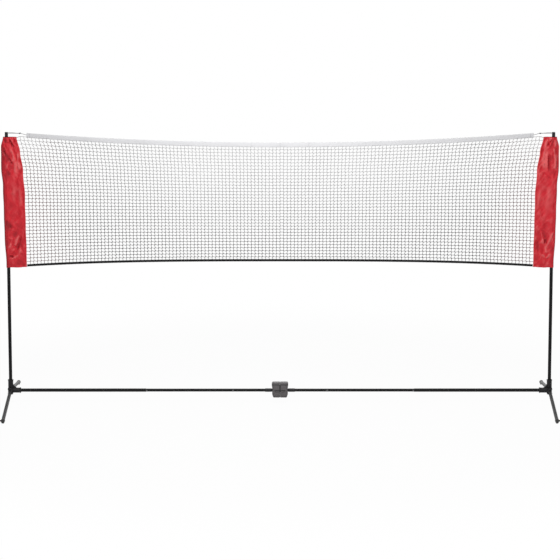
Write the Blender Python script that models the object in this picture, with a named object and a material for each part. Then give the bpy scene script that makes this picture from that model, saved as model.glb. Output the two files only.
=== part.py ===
"""Portable badminton net: a folding, telescopic base, two plug-in posts, cloth sleeves and a net.

The net's plane is X-Z, the posts stand at the ends of X, and the floor is z = 0.
Each side is built from distances outwards from the middle, so left and right are mirror images.
"""
import math

import bmesh
import bpy
from mathutils import Matrix, Vector

# Overall sizes, in metres
POST_SPACING = 3.055
TOTAL_HEIGHT = 1.551
FOOT_REACH = 0.500
BAR_HEIGHT = 0.076

# Gaps between pieces
GAP = 0.0003
PIN_GAP = 0.0003
FOLD_GAP = 0.0004
SEAM_GAP = 0.0018

# Steel tubes
TUBE_RADIUS = 0.0095
TUBE_WALL = 0.0008
INNER_TUBE_WALL = 0.0008
TUBE_OVERLAP = 0.0690
OUTER_TUBE_SEAT = 0.0245
POST_JOINT_HEIGHT = 0.830
POST_FLOOR = 0.0050
FERRULE_LENGTH = 0.120

# Folding hub
HUB_HALF_WIDTH = 0.0465
HUB_WAIST_INSET = 0.0023
HUB_TOP_INSET = 0.0033
HUB_FOOT_INSET = 0.0070
HUB_RISE = 0.045
HUB_DROP = 0.038
HUB_SHOULDER_DROP = 0.012
HUB_DEPTH = 0.054
HUB_BEVEL = 0.0035
HUB_SOCKET_END = 0.011
GRIP_WIDTH = 0.030
GRIP_DROP = 0.009
GRIP_DEPTH = 0.004
GRIP_RISE = 0.004
FOLD_PIN_OUT = 0.012
FOLD_PIN_RADIUS = 0.003
FOLD_EYE_RADIUS = 0.008
FOLD_EYE_CLEARANCE = 0.003
LINK_HEIGHT = 0.040
FOLD_LUG_HEIGHT = 0.009
RIVET_HEAD_LIP = 0.0018
RIVET_HEAD_HEIGHT = 0.0012
STOP_COLLAR_LENGTH = 0.0370
STOP_COLLAR_WALL = 0.0013

# Snap buttons of the telescopic base
LOCK_BUTTON_OUT = 0.7565
STOW_BUTTON_OUT = 0.2670
BUTTON_RADIUS = 0.0035
BUTTON_STAND = 0.0022
BUTTON_SLACK = 0.0010
BUTTON_DOME = 0.0010
BUTTON_FLANGE_LIP = 0.0014
BUTTON_FLANGE_HEIGHT = 0.0010
SPRING_LENGTH = 0.036
SPRING_WIDTH = 0.0060
SPRING_THICKNESS = 0.0006

# Corner fittings
SOCKET_WALL = 0.0047
SOCKET_LIP = 0.0014
SOCKET_LIP_WIDTH = 0.0060
POST_SOCKET_RISE = 0.0616
BAR_SOCKET_REACH = 0.0575
CORNER_DROP = 0.0155
GUSSET_REACH = 0.0330
GUSSET_RISE = 0.0360
GUSSET_THICKNESS = 0.0140
FOOT_PIN_RADIUS = 0.0030
FOOT_CLEARANCE = 0.0066
KNUCKLE_RADIUS = 0.0125
KNUCKLE_HEIGHT = 0.0200
LUG_MARGIN = 0.0020
LUG_HEIGHT = 0.0052

# Feet
LEG_STANDOFF = 0.0065
LEG_PLUG_LENGTH = 0.030
TIP_WALL = 0.0014
TIP_LENGTH = 0.022
TIP_FLOOR = 0.0050
TIP_ROUNDING = 0.0022
SOLE_THICKNESS = 0.0008
SOLE_LENGTH = 0.018
SOLE_WIDTH = 0.014
SOLE_INSET = 0.0010
TAB_LENGTH = 0.0090
TAB_RADIUS = 0.0048

# Post caps
CAP_HEIGHT = 0.0235
CAP_PLUG_LENGTH = 0.020
CAP_STEP = 0.0003
CAP_NECK_DEPTH = 0.0020
CAP_NECK_RISE = 0.0148
CAP_NECK_HEIGHT = 0.0050
CAP_CROWN = 0.0012

# Sleeves: how far each edge lies from the post's axis, at shares of the length from the top down
SLEEVE_TOP_DROP = 0.0035
SLEEVE_LENGTH = 0.740
SLEEVE_OUTER_EDGE = ((0, 0.0190), (0.08, 0.0320), (0.25, 0.0320), (0.38, 0.0240), (0.72, 0.0205), (1, 0.0120))
SLEEVE_INNER_EDGE = ((0, 0.0560), (0.12, 0.0760), (0.26, 0.0900), (0.46, 0.0985), (1, 0.1030))
SLEEVE_FABRIC = 0.0014
SLEEVE_EDGE_HALF = 0.0034
SLEEVE_BULGE_WIDTH = 0.0300
SLEEVE_EDGE_POWER = 6
FOLD_DEPTH = 0.0085
FOLD_COUNT = 3.5
FOLD_RUN_OUT = 0.050
FOLD_SLANT = 0.140
FOLD_SEAM_POWER = 4

# Net, tape and hem
TAPE_END_DROP = 0.0050
TAPE_SAG = 0.0540
TAPE_END_BACK = 0.1121
TAPE_HEIGHT = 0.0240
TAPE_THICKNESS = 0.0040
HEM_END_RISE = 0.0115
HEM_ARCH = 0.0290
HEM_CURVE_POWER = 3
HEM_HEIGHT = 0.0095
HEM_THICKNESS = 0.0036
NET_STRING = 0.0030
NET_BORDER = 0.0040

# Top cords
CORD_RADIUS = 0.0011
CORD_STRAND_GAP = 0.0004
CORD_TIE_DROP = 0.0100
CORD_KNOT_BACK = 0.0745
CORD_KNOT_DROP = 0.0015
CORD_PULL = 0.0220
CORD_TIE_PULL = 0.0110
CORD_FRONT_HUMP = 0.0020
CORD_REAR_HUMP = 0.0045

# How finely round and curved shapes are divided
TUBE_SIDES = 16
PIN_SIDES = 12
TAB_SIDES = 10
ROUND_END_STEPS = 6
SPRING_BEND_STEPS = 6
BAND_STEPS = 12
SLEEVE_SIDES = 24
SLEEVE_RINGS = 15
NET_COLUMNS = 15
NET_ROWS = 9
CORD_TURN_POINTS = 12
CORD_RUN_POINTS = 8
CORD_TIE_POINTS = 4
BEVEL_ANGLE = 50
SHARP_ANGLE = 35
AXIS_TOLERANCE = 1e-6
WELD_DISTANCE = 1e-7

# Sizes that follow from the ones above
POST_OUT = POST_SPACING / 2
INNER_TUBE_RADIUS = TUBE_RADIUS - TUBE_WALL - GAP
INNER_TUBE_BORE = INNER_TUBE_RADIUS - INNER_TUBE_WALL
OUTER_TUBE_START = LOCK_BUTTON_OUT + BUTTON_RADIUS + BUTTON_SLACK
OUTER_TUBE_END = POST_OUT - OUTER_TUBE_SEAT
INNER_TUBE_END = OUTER_TUBE_START + TUBE_OVERLAP
HUB_BACK = HUB_DEPTH / 2
FOLD_PIN_Y = HUB_BACK + FOLD_EYE_RADIUS + FOLD_EYE_CLEARANCE
BUTTON_FLANGE_RADIUS = BUTTON_RADIUS + BUTTON_FLANGE_LIP
BUTTON_FLANGE_TOP = math.sqrt(INNER_TUBE_BORE**2 - BUTTON_FLANGE_RADIUS**2) - GAP
SOCKET_BORE = TUBE_RADIUS + GAP
SOCKET_RADIUS = SOCKET_BORE + SOCKET_WALL
FOOT_PIN_BACK = SOCKET_RADIUS + SOCKET_LIP + KNUCKLE_RADIUS + FOOT_CLEARANCE
LUG_RADIUS = KNUCKLE_RADIUS + LUG_MARGIN
POST_BOTTOM = BAR_HEIGHT + TUBE_RADIUS + POST_FLOOR
POST_SOCKET_TOP = BAR_HEIGHT + POST_SOCKET_RISE
POST_TUBE_TOP = TOTAL_HEIGHT - CAP_HEIGHT
PLUG_RADIUS = TUBE_RADIUS - TUBE_WALL - GAP
CAP_RADIUS = TUBE_RADIUS - CAP_STEP
CAP_NECK_RADIUS = CAP_RADIUS - CAP_NECK_DEPTH
TIP_RADIUS = SOCKET_BORE + TIP_WALL
TIP_AXIS_HEIGHT = TIP_RADIUS + SOLE_THICKNESS
LEG_START = KNUCKLE_RADIUS + LEG_STANDOFF
LEG_DROP = BAR_HEIGHT - TIP_AXIS_HEIGHT
LEG_LENGTH = math.hypot(FOOT_REACH - FOOT_PIN_BACK, LEG_DROP)
LEG_SLOPE = math.atan2(LEG_DROP, FOOT_REACH - FOOT_PIN_BACK)
SLEEVE_TOP = POST_TUBE_TOP - SLEEVE_TOP_DROP
SLEEVE_BOTTOM = SLEEVE_TOP - SLEEVE_LENGTH
SLEEVE_POST_HALF = TUBE_RADIUS + GAP + SLEEVE_FABRIC
TAPE_END_TOP = TOTAL_HEIGHT - TAPE_END_DROP
TAPE_MIDDLE_TOP = TAPE_END_TOP - TAPE_SAG
TAPE_END_OUT = POST_OUT - TAPE_END_BACK
HEM_END = SLEEVE_BOTTOM + HEM_END_RISE
HEM_MIDDLE = HEM_END + HEM_ARCH
SIDES = {"left": -1, "right": 1}
FEET = {"front": -1, "rear": 1}

pivots = {}
finishes = {}


def clear_scene():
    """Remove what the start-up file holds."""
    for thing in list(bpy.data.objects):
        bpy.data.objects.remove(thing, do_unlink=True)


def finish(name, colour, roughness, metallic=0.0):
    """A plain material with the piece's colour, roughness and metallic value."""
    if name not in finishes:
        made = bpy.data.materials.new(name)
        made.use_nodes = True
        shader = made.node_tree.nodes["Principled BSDF"]
        shader.inputs["Base Color"].default_value = (*colour, 1.0)
        shader.inputs["Roughness"].default_value = roughness
        shader.inputs["Metallic"].default_value = metallic
        made.diffuse_color = (*colour, 1.0)
        finishes[name] = made
    return finishes[name]


def coated_steel():
    return finish("black_coated_steel", (0.018, 0.018, 0.020), 0.42, 0.25)


def black_plastic():
    return finish("black_plastic", (0.022, 0.022, 0.024), 0.50)


def grey_plastic():
    return finish("grey_plastic", (0.150, 0.140, 0.145), 0.62)


def rubber():
    return finish("black_rubber", (0.012, 0.012, 0.013), 0.80)


def bright_steel():
    return finish("bright_steel", (0.55, 0.55, 0.56), 0.35, 0.9)


def red_cloth():
    return finish("red_polyester", (0.50, 0.025, 0.035), 0.70)


def white_cloth():
    return finish("white_webbing", (0.78, 0.78, 0.80), 0.80)


def black_cloth():
    return finish("black_webbing", (0.015, 0.015, 0.017), 0.85)


def net_string():
    return finish("net_string", (0.060, 0.057, 0.055), 0.80)


def pivot(name, place, parent=None):
    """An empty on a joint's axis, which carries the pieces that move with that joint."""
    empty = bpy.data.objects.new(name, None)
    bpy.context.scene.collection.objects.link(empty)
    pivots[name] = (empty, Vector(place))
    start = Vector((0.0, 0.0, 0.0))
    if parent:
        empty.parent, start = pivots[parent]
    empty.location = Vector(place) - start
    return name


def add_piece(name, shape, material, carrier):
    """Turn a bmesh in world coordinates into a named object that hangs on its carrier's empty."""
    bmesh.ops.remove_doubles(shape, verts=shape.verts, dist=WELD_DISTANCE)
    bmesh.ops.recalc_face_normals(shape, faces=shape.faces)
    empty, place = pivots[carrier]
    bmesh.ops.translate(shape, verts=shape.verts, vec=-place)
    mesh = bpy.data.meshes.new(name)
    shape.to_mesh(mesh)
    shape.free()
    mesh.shade_smooth()
    mesh.set_sharp_from_angle(angle=math.radians(SHARP_ANGLE))
    if material:
        mesh.materials.append(material)
    piece = bpy.data.objects.new(name, mesh)
    bpy.context.scene.collection.objects.link(piece)
    piece.parent = empty
    return piece


def change(piece, name, shape, operation, carrier):
    """Join a hidden shape to a piece, or cut it away."""
    cutter = add_piece(name, shape, None, carrier)
    cutter.hide_render = True
    cutter.display_type = "WIRE"
    modifier = piece.modifiers.new(name, "BOOLEAN")
    modifier.operation = operation
    modifier.solver = "EXACT"
    modifier.object = cutter


def frame_along(start, direction):
    """A matrix whose local Z runs along direction from start."""
    turn = Vector(direction).normalized().to_track_quat("Z", "Y").to_matrix().to_4x4()
    return Matrix.Translation(Vector(start)) @ turn


def turned(profile, start, direction, sides=TUBE_SIDES):
    """A turned solid: profile holds (radius, distance along the axis), a closed loop round the section."""
    shape = bmesh.new()
    place = frame_along(start, direction)
    rings = []
    for radius, along in profile:
        if radius < AXIS_TOLERANCE:
            rings.append([shape.verts.new(place @ Vector((0.0, 0.0, along)))])
            continue
        ring = []
        for step in range(sides):
            angle = 2 * math.pi * (step + 0.5) / sides
            spot = Vector((radius * math.cos(angle), radius * math.sin(angle), along))
            ring.append(shape.verts.new(place @ spot))
        rings.append(ring)
    open_ended = len(rings[0]) == 1 and len(rings[-1]) == 1
    count = len(rings) - 1 if open_ended else len(rings)
    for index in range(count):
        join_rings(shape, rings[index], rings[(index + 1) % len(rings)])
    return shape


def join_rings(shape, low, high):
    """Faces between two rings of one size, or between a ring and a single point."""
    sides = max(len(low), len(high))
    for step in range(sides):
        after = (step + 1) % sides
        below = (low[step % len(low)], low[after % len(low)])
        above = (high[after % len(high)], high[step % len(high)])
        corners = [*below, *above]
        unique = list(dict.fromkeys(corners))
        if len(unique) > 2:
            shape.faces.new(unique)


def rod(radius, start, end, sides=TUBE_SIDES):
    """A plain cylinder from start to end."""
    direction = Vector(end) - Vector(start)
    length = direction.length
    return turned([(0.0, 0.0), (radius, 0.0), (radius, length), (0.0, length)], start, direction, sides)


def pipe(radius, wall, start, end, sides=TUBE_SIDES):
    """An open tube from start to end."""
    direction = Vector(end) - Vector(start)
    length = direction.length
    inside = radius - wall
    return turned([(radius, 0.0), (radius, length), (inside, length), (inside, 0.0)], start, direction, sides)


def slab(outline, plane, low, high):
    """An outline of (a, b) points, extruded along the third axis from low to high."""
    shape = bmesh.new()
    places = {
        "XZ": lambda a, b, c: (a, c, b),
        "XY": lambda a, b, c: (a, b, c),
        "YZ": lambda a, b, c: (c, a, b),
    }
    place = places[plane]
    bottom = [shape.verts.new(place(a, b, low)) for a, b in outline]
    top = [shape.verts.new(place(a, b, high)) for a, b in outline]
    join_rings(shape, bottom, top)
    shape.faces.new(bottom)
    shape.faces.new(list(reversed(top)))
    return shape


def rounded_slot(start, end, radius, steps=ROUND_END_STEPS):
    """The outline of a plate with two round ends, with centres at start and end."""
    (ax, ay), (bx, by) = start, end
    heading = math.atan2(by - ay, bx - ax)
    outline = []
    for (cx, cy), first in ((end, heading - math.pi / 2), (start, heading + math.pi / 2)):
        for step in range(steps + 1):
            angle = first + math.pi * step / steps
            outline.append((cx + radius * math.cos(angle), cy + radius * math.sin(angle)))
    return outline


def rivet(radius, start, end):
    """A pivot rivet: a shank from start to end, with a flat head outside each end."""
    direction = (Vector(end) - Vector(start)).normalized()
    length = (Vector(end) - Vector(start)).length
    head_radius = radius + RIVET_HEAD_LIP
    profile = [
        (0.0, -RIVET_HEAD_HEIGHT),
        (head_radius, -RIVET_HEAD_HEIGHT),
        (head_radius, 0.0),
        (radius, 0.0),
        (radius, length),
        (head_radius, length),
        (head_radius, length + RIVET_HEAD_HEIGHT),
        (0.0, length + RIVET_HEAD_HEIGHT),
    ]
    return turned(profile, start, direction, PIN_SIDES)


def along_table(table, share):
    """Smooth value between a table's (share, value) points."""
    for (low, first), (high, last) in zip(table, table[1:]):
        if share <= high:
            part = (share - low) / (high - low)
            part = part * part * (3 - 2 * part)
            return first + (last - first) * part
    return table[-1][1]


def sleeve_edges(height):
    """How far the sleeve's outer and inner edges lie from the post's axis, straight between its rings."""
    steps = SLEEVE_RINGS - 1
    level = min(max((SLEEVE_TOP - height) / SLEEVE_LENGTH, 0.0), 1.0) * steps
    above = min(int(level), steps - 1)
    part = level - above
    edges = []
    for table in (SLEEVE_OUTER_EDGE, SLEEVE_INNER_EDGE):
        high = along_table(table, above / steps)
        low = along_table(table, (above + 1) / steps)
        edges.append(high + (low - high) * part)
    return edges


def net_end(height):
    """Where the net meets its sleeve, out from the middle."""
    return POST_OUT - sleeve_edges(height)[1] - SEAM_GAP


def tape_top(out):
    """The top edge of the white tape, which hangs in a shallow curve."""
    return TAPE_MIDDLE_TOP + (TAPE_END_TOP - TAPE_MIDDLE_TOP) * (out / TAPE_END_OUT) ** 2


def hem_middle(out):
    """The middle of the black hem, which is drawn up in the middle of the net."""
    return HEM_MIDDLE + (HEM_END - HEM_MIDDLE) * (out / TAPE_END_OUT) ** HEM_CURVE_POWER


def make_pivots():
    """One empty for the hub link and one for each joint."""
    pivot("hub_link_frame", (0.0, FOLD_PIN_Y, BAR_HEIGHT))
    for side, sign in SIDES.items():
        arm = pivot(f"{side}_arm_fold_axis", (sign * FOLD_PIN_OUT, FOLD_PIN_Y, BAR_HEIGHT), "hub_link_frame")
        post = pivot(f"{side}_base_slide_axis", (sign * POST_OUT, 0.0, BAR_HEIGHT), arm)
        for use, out in (("lock", LOCK_BUTTON_OUT), ("stow", STOW_BUTTON_OUT)):
            pivot(f"{side}_{use}_button_axis", (sign * out, 0.0, BAR_HEIGHT), arm)
        for foot, facing in FEET.items():
            place = (sign * POST_OUT, facing * FOOT_PIN_BACK, BAR_HEIGHT)
            pivot(f"{side}_{foot}_foot_fold_axis", place, post)


def hub_link():
    """The plate behind the hub that joins the two fold pins, and the pins themselves."""
    low = BAR_HEIGHT - LINK_HEIGHT / 2
    high = BAR_HEIGHT + LINK_HEIGHT / 2
    outline = rounded_slot((-FOLD_PIN_OUT, FOLD_PIN_Y), (FOLD_PIN_OUT, FOLD_PIN_Y), FOLD_EYE_RADIUS)
    link = add_piece("hub_link", slab(outline, "XY", low, high), grey_plastic(), "hub_link_frame")
    reach = LINK_HEIGHT / 2 + FOLD_GAP + FOLD_LUG_HEIGHT + FOLD_GAP
    for side, sign in SIDES.items():
        out = sign * FOLD_PIN_OUT
        bottom = (out, FOLD_PIN_Y, BAR_HEIGHT - reach)
        top = (out, FOLD_PIN_Y, BAR_HEIGHT + reach)
        hole = rod(FOLD_PIN_RADIUS + PIN_GAP, bottom, top, PIN_SIDES)
        change(link, f"{side}_link_hole", hole, "DIFFERENCE", "hub_link_frame")
        pin = rivet(FOLD_PIN_RADIUS, bottom, top)
        add_piece(f"{side}_fold_pin", pin, bright_steel(), "hub_link_frame")


def hub_outline(sign):
    """The front outline of one half of the hub, from the seam outwards."""
    bottom = BAR_HEIGHT - HUB_DROP
    top = BAR_HEIGHT + HUB_RISE
    shoulder = top - HUB_SHOULDER_DROP
    foot_out = HUB_HALF_WIDTH - HUB_FOOT_INSET
    waist_out = HUB_HALF_WIDTH - HUB_WAIST_INSET
    points = [
        (GAP, bottom),
        (foot_out - HUB_BEVEL, bottom),
        (foot_out, bottom + HUB_BEVEL),
        (waist_out, BAR_HEIGHT - HUB_DROP / 2),
        (waist_out, shoulder - HUB_SHOULDER_DROP),
        (HUB_HALF_WIDTH, shoulder),
        (HUB_HALF_WIDTH, shoulder + HUB_BEVEL),
        (HUB_HALF_WIDTH - HUB_TOP_INSET, top),
        (GAP, top),
    ]
    return [(sign * out, height) for out, height in points]


def grip_outline(sign):
    """One half's share of the thumb grip on the hub's front: a half-moon under a straight edge."""
    straight = BAR_HEIGHT + GRIP_RISE
    outline = []
    for step in range(2 * ROUND_END_STEPS + 1):
        angle = math.pi * step / (2 * ROUND_END_STEPS)
        out = GRIP_WIDTH / 2 * (1 - math.cos(angle))
        outline.append((sign * out, BAR_HEIGHT - GRIP_DROP * math.sin(angle)))
    return outline + [(sign * GRIP_WIDTH, straight), (0.0, straight)]


def hub_half(side, sign):
    """One moulded half of the hub, with its tube socket, hinge lugs and half of the thumb grip."""
    carrier = f"{side}_arm_fold_axis"
    block = slab(hub_outline(sign), "XZ", -HUB_BACK, HUB_BACK)
    half = add_piece(f"{side}_hub_half", block, grey_plastic(), carrier)
    edge = half.modifiers.new("rounded_edges", "BEVEL")
    edge.width = HUB_BEVEL
    edge.segments = 2
    edge.limit_method = "ANGLE"
    edge.angle_limit = math.radians(BEVEL_ANGLE)
    reach = LINK_HEIGHT / 2 + FOLD_GAP
    lugs = {"upper": BAR_HEIGHT + reach, "lower": BAR_HEIGHT - reach - FOLD_LUG_HEIGHT}
    pin = (sign * FOLD_PIN_OUT, FOLD_PIN_Y)
    root = (sign * FOLD_PIN_OUT, HUB_BACK - 2 * HUB_BEVEL)
    for name, low in lugs.items():
        high = low + FOLD_LUG_HEIGHT
        lug = slab(rounded_slot(root, pin, FOLD_EYE_RADIUS), "XY", low, high)
        change(half, f"{side}_{name}_fold_lug", lug, "UNION", carrier)
        hole = rod(FOLD_PIN_RADIUS + PIN_GAP, (*pin, low - GAP), (*pin, high + GAP), PIN_SIDES)
        change(half, f"{side}_{name}_lug_hole", hole, "DIFFERENCE", carrier)
    start = (sign * HUB_SOCKET_END, 0.0, BAR_HEIGHT)
    end = (sign * (HUB_HALF_WIDTH + GAP), 0.0, BAR_HEIGHT)
    change(half, f"{side}_hub_socket", rod(INNER_TUBE_RADIUS + GAP, start, end), "DIFFERENCE", carrier)
    recess = slab(grip_outline(sign), "XZ", -HUB_BACK - GAP, -HUB_BACK + GRIP_DEPTH)
    change(half, f"{side}_grip_recess", recess, "DIFFERENCE", carrier)


def inner_tube(side, sign):
    """The base tube that is fixed in the hub, with a hole for each snap button."""
    carrier = f"{side}_arm_fold_axis"
    start = (sign * (HUB_SOCKET_END + GAP), 0.0, BAR_HEIGHT)
    end = (sign * INNER_TUBE_END, 0.0, BAR_HEIGHT)
    shape = pipe(INNER_TUBE_RADIUS, INNER_TUBE_WALL, start, end)
    tube = add_piece(f"{side}_inner_base_tube", shape, coated_steel(), carrier)
    for use, out in (("lock", LOCK_BUTTON_OUT), ("stow", STOW_BUTTON_OUT)):
        low = (sign * out, -INNER_TUBE_RADIUS - GAP, BAR_HEIGHT)
        high = (sign * out, -BUTTON_FLANGE_TOP, BAR_HEIGHT)
        hole = rod(BUTTON_RADIUS + PIN_GAP, low, high, PIN_SIDES)
        change(tube, f"{side}_{use}_button_hole", hole, "DIFFERENCE", carrier)
    start = (sign * (HUB_HALF_WIDTH + GAP), 0.0, BAR_HEIGHT)
    end = (sign * (HUB_HALF_WIDTH + GAP + STOP_COLLAR_LENGTH), 0.0, BAR_HEIGHT)
    collar = pipe(INNER_TUBE_RADIUS + GAP + STOP_COLLAR_WALL, STOP_COLLAR_WALL, start, end)
    add_piece(f"{side}_stop_collar", collar, black_plastic(), carrier)


def snap_clip(side, sign, use, out):
    """A snap button on its bent leaf spring, one piece: the spring pushes the head out of the tube."""
    carrier = f"{side}_{use}_button_axis"
    crown = INNER_TUBE_RADIUS + BUTTON_STAND
    foot = BUTTON_FLANGE_TOP - BUTTON_FLANGE_HEIGHT
    front = SPRING_THICKNESS / 2 - foot
    back = math.sqrt(INNER_TUBE_BORE**2 - (SPRING_WIDTH / 2) ** 2) - GAP - SPRING_THICKNESS / 2
    outline = [(sign * x, y) for x, y in thick_line(spring_line(out, front, back), SPRING_THICKNESS)]
    low = BAR_HEIGHT - SPRING_WIDTH / 2
    spring = slab(outline, "XY", low, low + SPRING_WIDTH)
    clip = add_piece(f"{side}_{use}_clip", spring, bright_steel(), carrier)
    rim = crown - foot - BUTTON_DOME
    profile = [
        (0.0, -SPRING_THICKNESS / 2),
        (BUTTON_FLANGE_RADIUS, -SPRING_THICKNESS / 2),
        (BUTTON_FLANGE_RADIUS, BUTTON_FLANGE_HEIGHT),
        (BUTTON_RADIUS, BUTTON_FLANGE_HEIGHT),
        (BUTTON_RADIUS, rim),
        (BUTTON_RADIUS * math.cos(math.pi / 4), rim + BUTTON_DOME * math.sin(math.pi / 4)),
        (0.0, rim + BUTTON_DOME),
    ]
    head = turned(profile, (sign * out, -foot, BAR_HEIGHT), (0, -1, 0), PIN_SIDES)
    change(clip, f"{side}_{use}_button_head", head, "UNION", carrier)


def spring_line(out, front, back):
    """The leaf spring's middle line: along under the button, round a bend, and back along the wall."""
    start = out - BUTTON_FLANGE_RADIUS
    bend = out + SPRING_LENGTH - BUTTON_FLANGE_RADIUS
    radius = (back - front) / 3
    points = [(start, front), (out + BUTTON_FLANGE_RADIUS, front)]
    middle = (back + front) / 2 + radius / 2
    for step in range(SPRING_BEND_STEPS + 1):
        angle = -math.pi / 2 + math.pi * step / SPRING_BEND_STEPS
        points.append((bend + radius * math.cos(angle), middle + radius * math.sin(angle)))
    points.append((out + BUTTON_FLANGE_RADIUS, back))
    points.append((start, back))
    return points


def thick_line(points, thickness):
    """The closed outline of a strip of one thickness along a line of points."""
    left = []
    right = []
    for index, (x, y) in enumerate(points):
        before = points[max(index - 1, 0)]
        after = points[min(index + 1, len(points) - 1)]
        heading = math.atan2(after[1] - before[1], after[0] - before[0])
        aside = (-math.sin(heading) * thickness / 2, math.cos(heading) * thickness / 2)
        left.append((x + aside[0], y + aside[1]))
        right.append((x - aside[0], y - aside[1]))
    return left + list(reversed(right))


def outer_tube(side, sign):
    """The base tube that slides over the inner one and ends in the corner fitting."""
    start = (sign * OUTER_TUBE_START, 0.0, BAR_HEIGHT)
    end = (sign * OUTER_TUBE_END, 0.0, BAR_HEIGHT)
    shape = pipe(TUBE_RADIUS, TUBE_WALL, start, end)
    add_piece(f"{side}_outer_base_tube", shape, coated_steel(), f"{side}_base_slide_axis")


def corner_fitting(side, sign):
    """The moulded corner: a socket for the bar, one for the post, a gusset and lugs for both feet."""
    carrier = f"{side}_base_slide_axis"
    out = sign * POST_OUT
    lip = SOCKET_RADIUS + SOCKET_LIP
    post = [
        (0.0, 0.0),
        (SOCKET_RADIUS, 0.0),
        (SOCKET_RADIUS, POST_SOCKET_RISE + CORNER_DROP - SOCKET_LIP_WIDTH),
        (lip, POST_SOCKET_RISE + CORNER_DROP - SOCKET_LIP_WIDTH + SOCKET_LIP / 2),
        (lip, POST_SOCKET_RISE + CORNER_DROP),
        (0.0, POST_SOCKET_RISE + CORNER_DROP),
    ]
    body = turned(post, (out, 0.0, BAR_HEIGHT - CORNER_DROP), (0, 0, 1))
    fitting = add_piece(f"{side}_corner_fitting", body, black_plastic(), carrier)
    bar = [
        (0.0, 0.0),
        (SOCKET_RADIUS, 0.0),
        (SOCKET_RADIUS, BAR_SOCKET_REACH - SOCKET_LIP_WIDTH),
        (lip, BAR_SOCKET_REACH - SOCKET_LIP_WIDTH + SOCKET_LIP / 2),
        (lip, BAR_SOCKET_REACH),
        (0.0, BAR_SOCKET_REACH),
    ]
    arm = turned(bar, (out, 0.0, BAR_HEIGHT), (-sign, 0, 0))
    change(fitting, f"{side}_bar_socket", arm, "UNION", carrier)
    gusset = [
        (out, BAR_HEIGHT),
        (out - sign * GUSSET_REACH, BAR_HEIGHT),
        (out - sign * GUSSET_REACH, BAR_HEIGHT + SOCKET_RADIUS - SOCKET_LIP),
        (out - sign * (SOCKET_RADIUS - SOCKET_LIP), BAR_HEIGHT + GUSSET_RISE),
        (out, BAR_HEIGHT + GUSSET_RISE),
    ]
    web = slab(gusset, "XZ", -GUSSET_THICKNESS / 2, GUSSET_THICKNESS / 2)
    change(fitting, f"{side}_gusset", web, "UNION", carrier)
    knuckle_space = KNUCKLE_HEIGHT / 2 + FOLD_GAP
    lugs = {"upper": BAR_HEIGHT + knuckle_space, "lower": BAR_HEIGHT - knuckle_space - LUG_HEIGHT}
    for name, low in lugs.items():
        plate = rounded_slot((out, -FOOT_PIN_BACK), (out, FOOT_PIN_BACK), LUG_RADIUS)
        lug = slab(plate, "XY", low, low + LUG_HEIGHT)
        change(fitting, f"{side}_{name}_foot_lugs", lug, "UNION", carrier)
    seat = (out - sign * (OUTER_TUBE_SEAT - GAP), 0.0, BAR_HEIGHT)
    mouth = (out - sign * (BAR_SOCKET_REACH + GAP), 0.0, BAR_HEIGHT)
    change(fitting, f"{side}_bar_bore", rod(SOCKET_BORE, seat, mouth), "DIFFERENCE", carrier)
    bore = rod(SOCKET_BORE, (out, 0.0, POST_BOTTOM - GAP), (out, 0.0, POST_SOCKET_TOP + GAP))
    change(fitting, f"{side}_post_bore", bore, "DIFFERENCE", carrier)
    reach = knuckle_space + LUG_HEIGHT
    for foot, facing in FEET.items():
        place = (out, facing * FOOT_PIN_BACK)
        low = (*place, BAR_HEIGHT - reach - GAP)
        high = (*place, BAR_HEIGHT + reach + GAP)
        bore = rod(FOOT_PIN_RADIUS + PIN_GAP, low, high, PIN_SIDES)
        change(fitting, f"{side}_{foot}_pin_bore", bore, "DIFFERENCE", carrier)
        add_piece(f"{side}_{foot}_foot_pin", rivet(FOOT_PIN_RADIUS, low, high), bright_steel(), carrier)


def foot(side, sign, name, facing):
    """A folding foot: a knuckle on the corner's pin, a sloping tube and a rubber tip."""
    carrier = f"{side}_{name}_foot_fold_axis"
    pin = Vector((sign * POST_OUT, facing * FOOT_PIN_BACK, BAR_HEIGHT))
    slope = Vector((0.0, facing * math.cos(LEG_SLOPE), -math.sin(LEG_SLOPE)))
    low = pin - Vector((0.0, 0.0, KNUCKLE_HEIGHT / 2))
    high = pin + Vector((0.0, 0.0, KNUCKLE_HEIGHT / 2))
    barrel = rod(KNUCKLE_RADIUS, low, high)
    knuckle = add_piece(f"{side}_{name}_foot_knuckle", barrel, black_plastic(), carrier)
    plug = rod(PLUG_RADIUS, pin, pin + slope * (LEG_START + LEG_PLUG_LENGTH))
    change(knuckle, f"{side}_{name}_leg_plug", plug, "UNION", carrier)
    margin = Vector((0.0, 0.0, GAP))
    hole = rod(FOOT_PIN_RADIUS + PIN_GAP, low - margin, high + margin, PIN_SIDES)
    change(knuckle, f"{side}_{name}_knuckle_hole", hole, "DIFFERENCE", carrier)
    end = pin + slope * LEG_LENGTH
    leg = pipe(TUBE_RADIUS, TUBE_WALL, pin + slope * LEG_START, end - slope * (TIP_FLOOR + GAP))
    add_piece(f"{side}_{name}_leg_tube", leg, coated_steel(), carrier)
    cup = rubber_tip(f"{side}_{name}", end, slope, carrier)
    if name == "front":
        middle = end - slope * TIP_LENGTH / 2
        outwards = Vector((sign, 0.0, 0.0))
        root = middle + outwards * (TIP_RADIUS - TIP_WALL)
        tab = rod(TAB_RADIUS, root, middle + outwards * (TIP_RADIUS + TAB_LENGTH), TAB_SIDES)
        change(cup, f"{side}_{name}_tip_tab", tab, "UNION", carrier)


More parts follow.
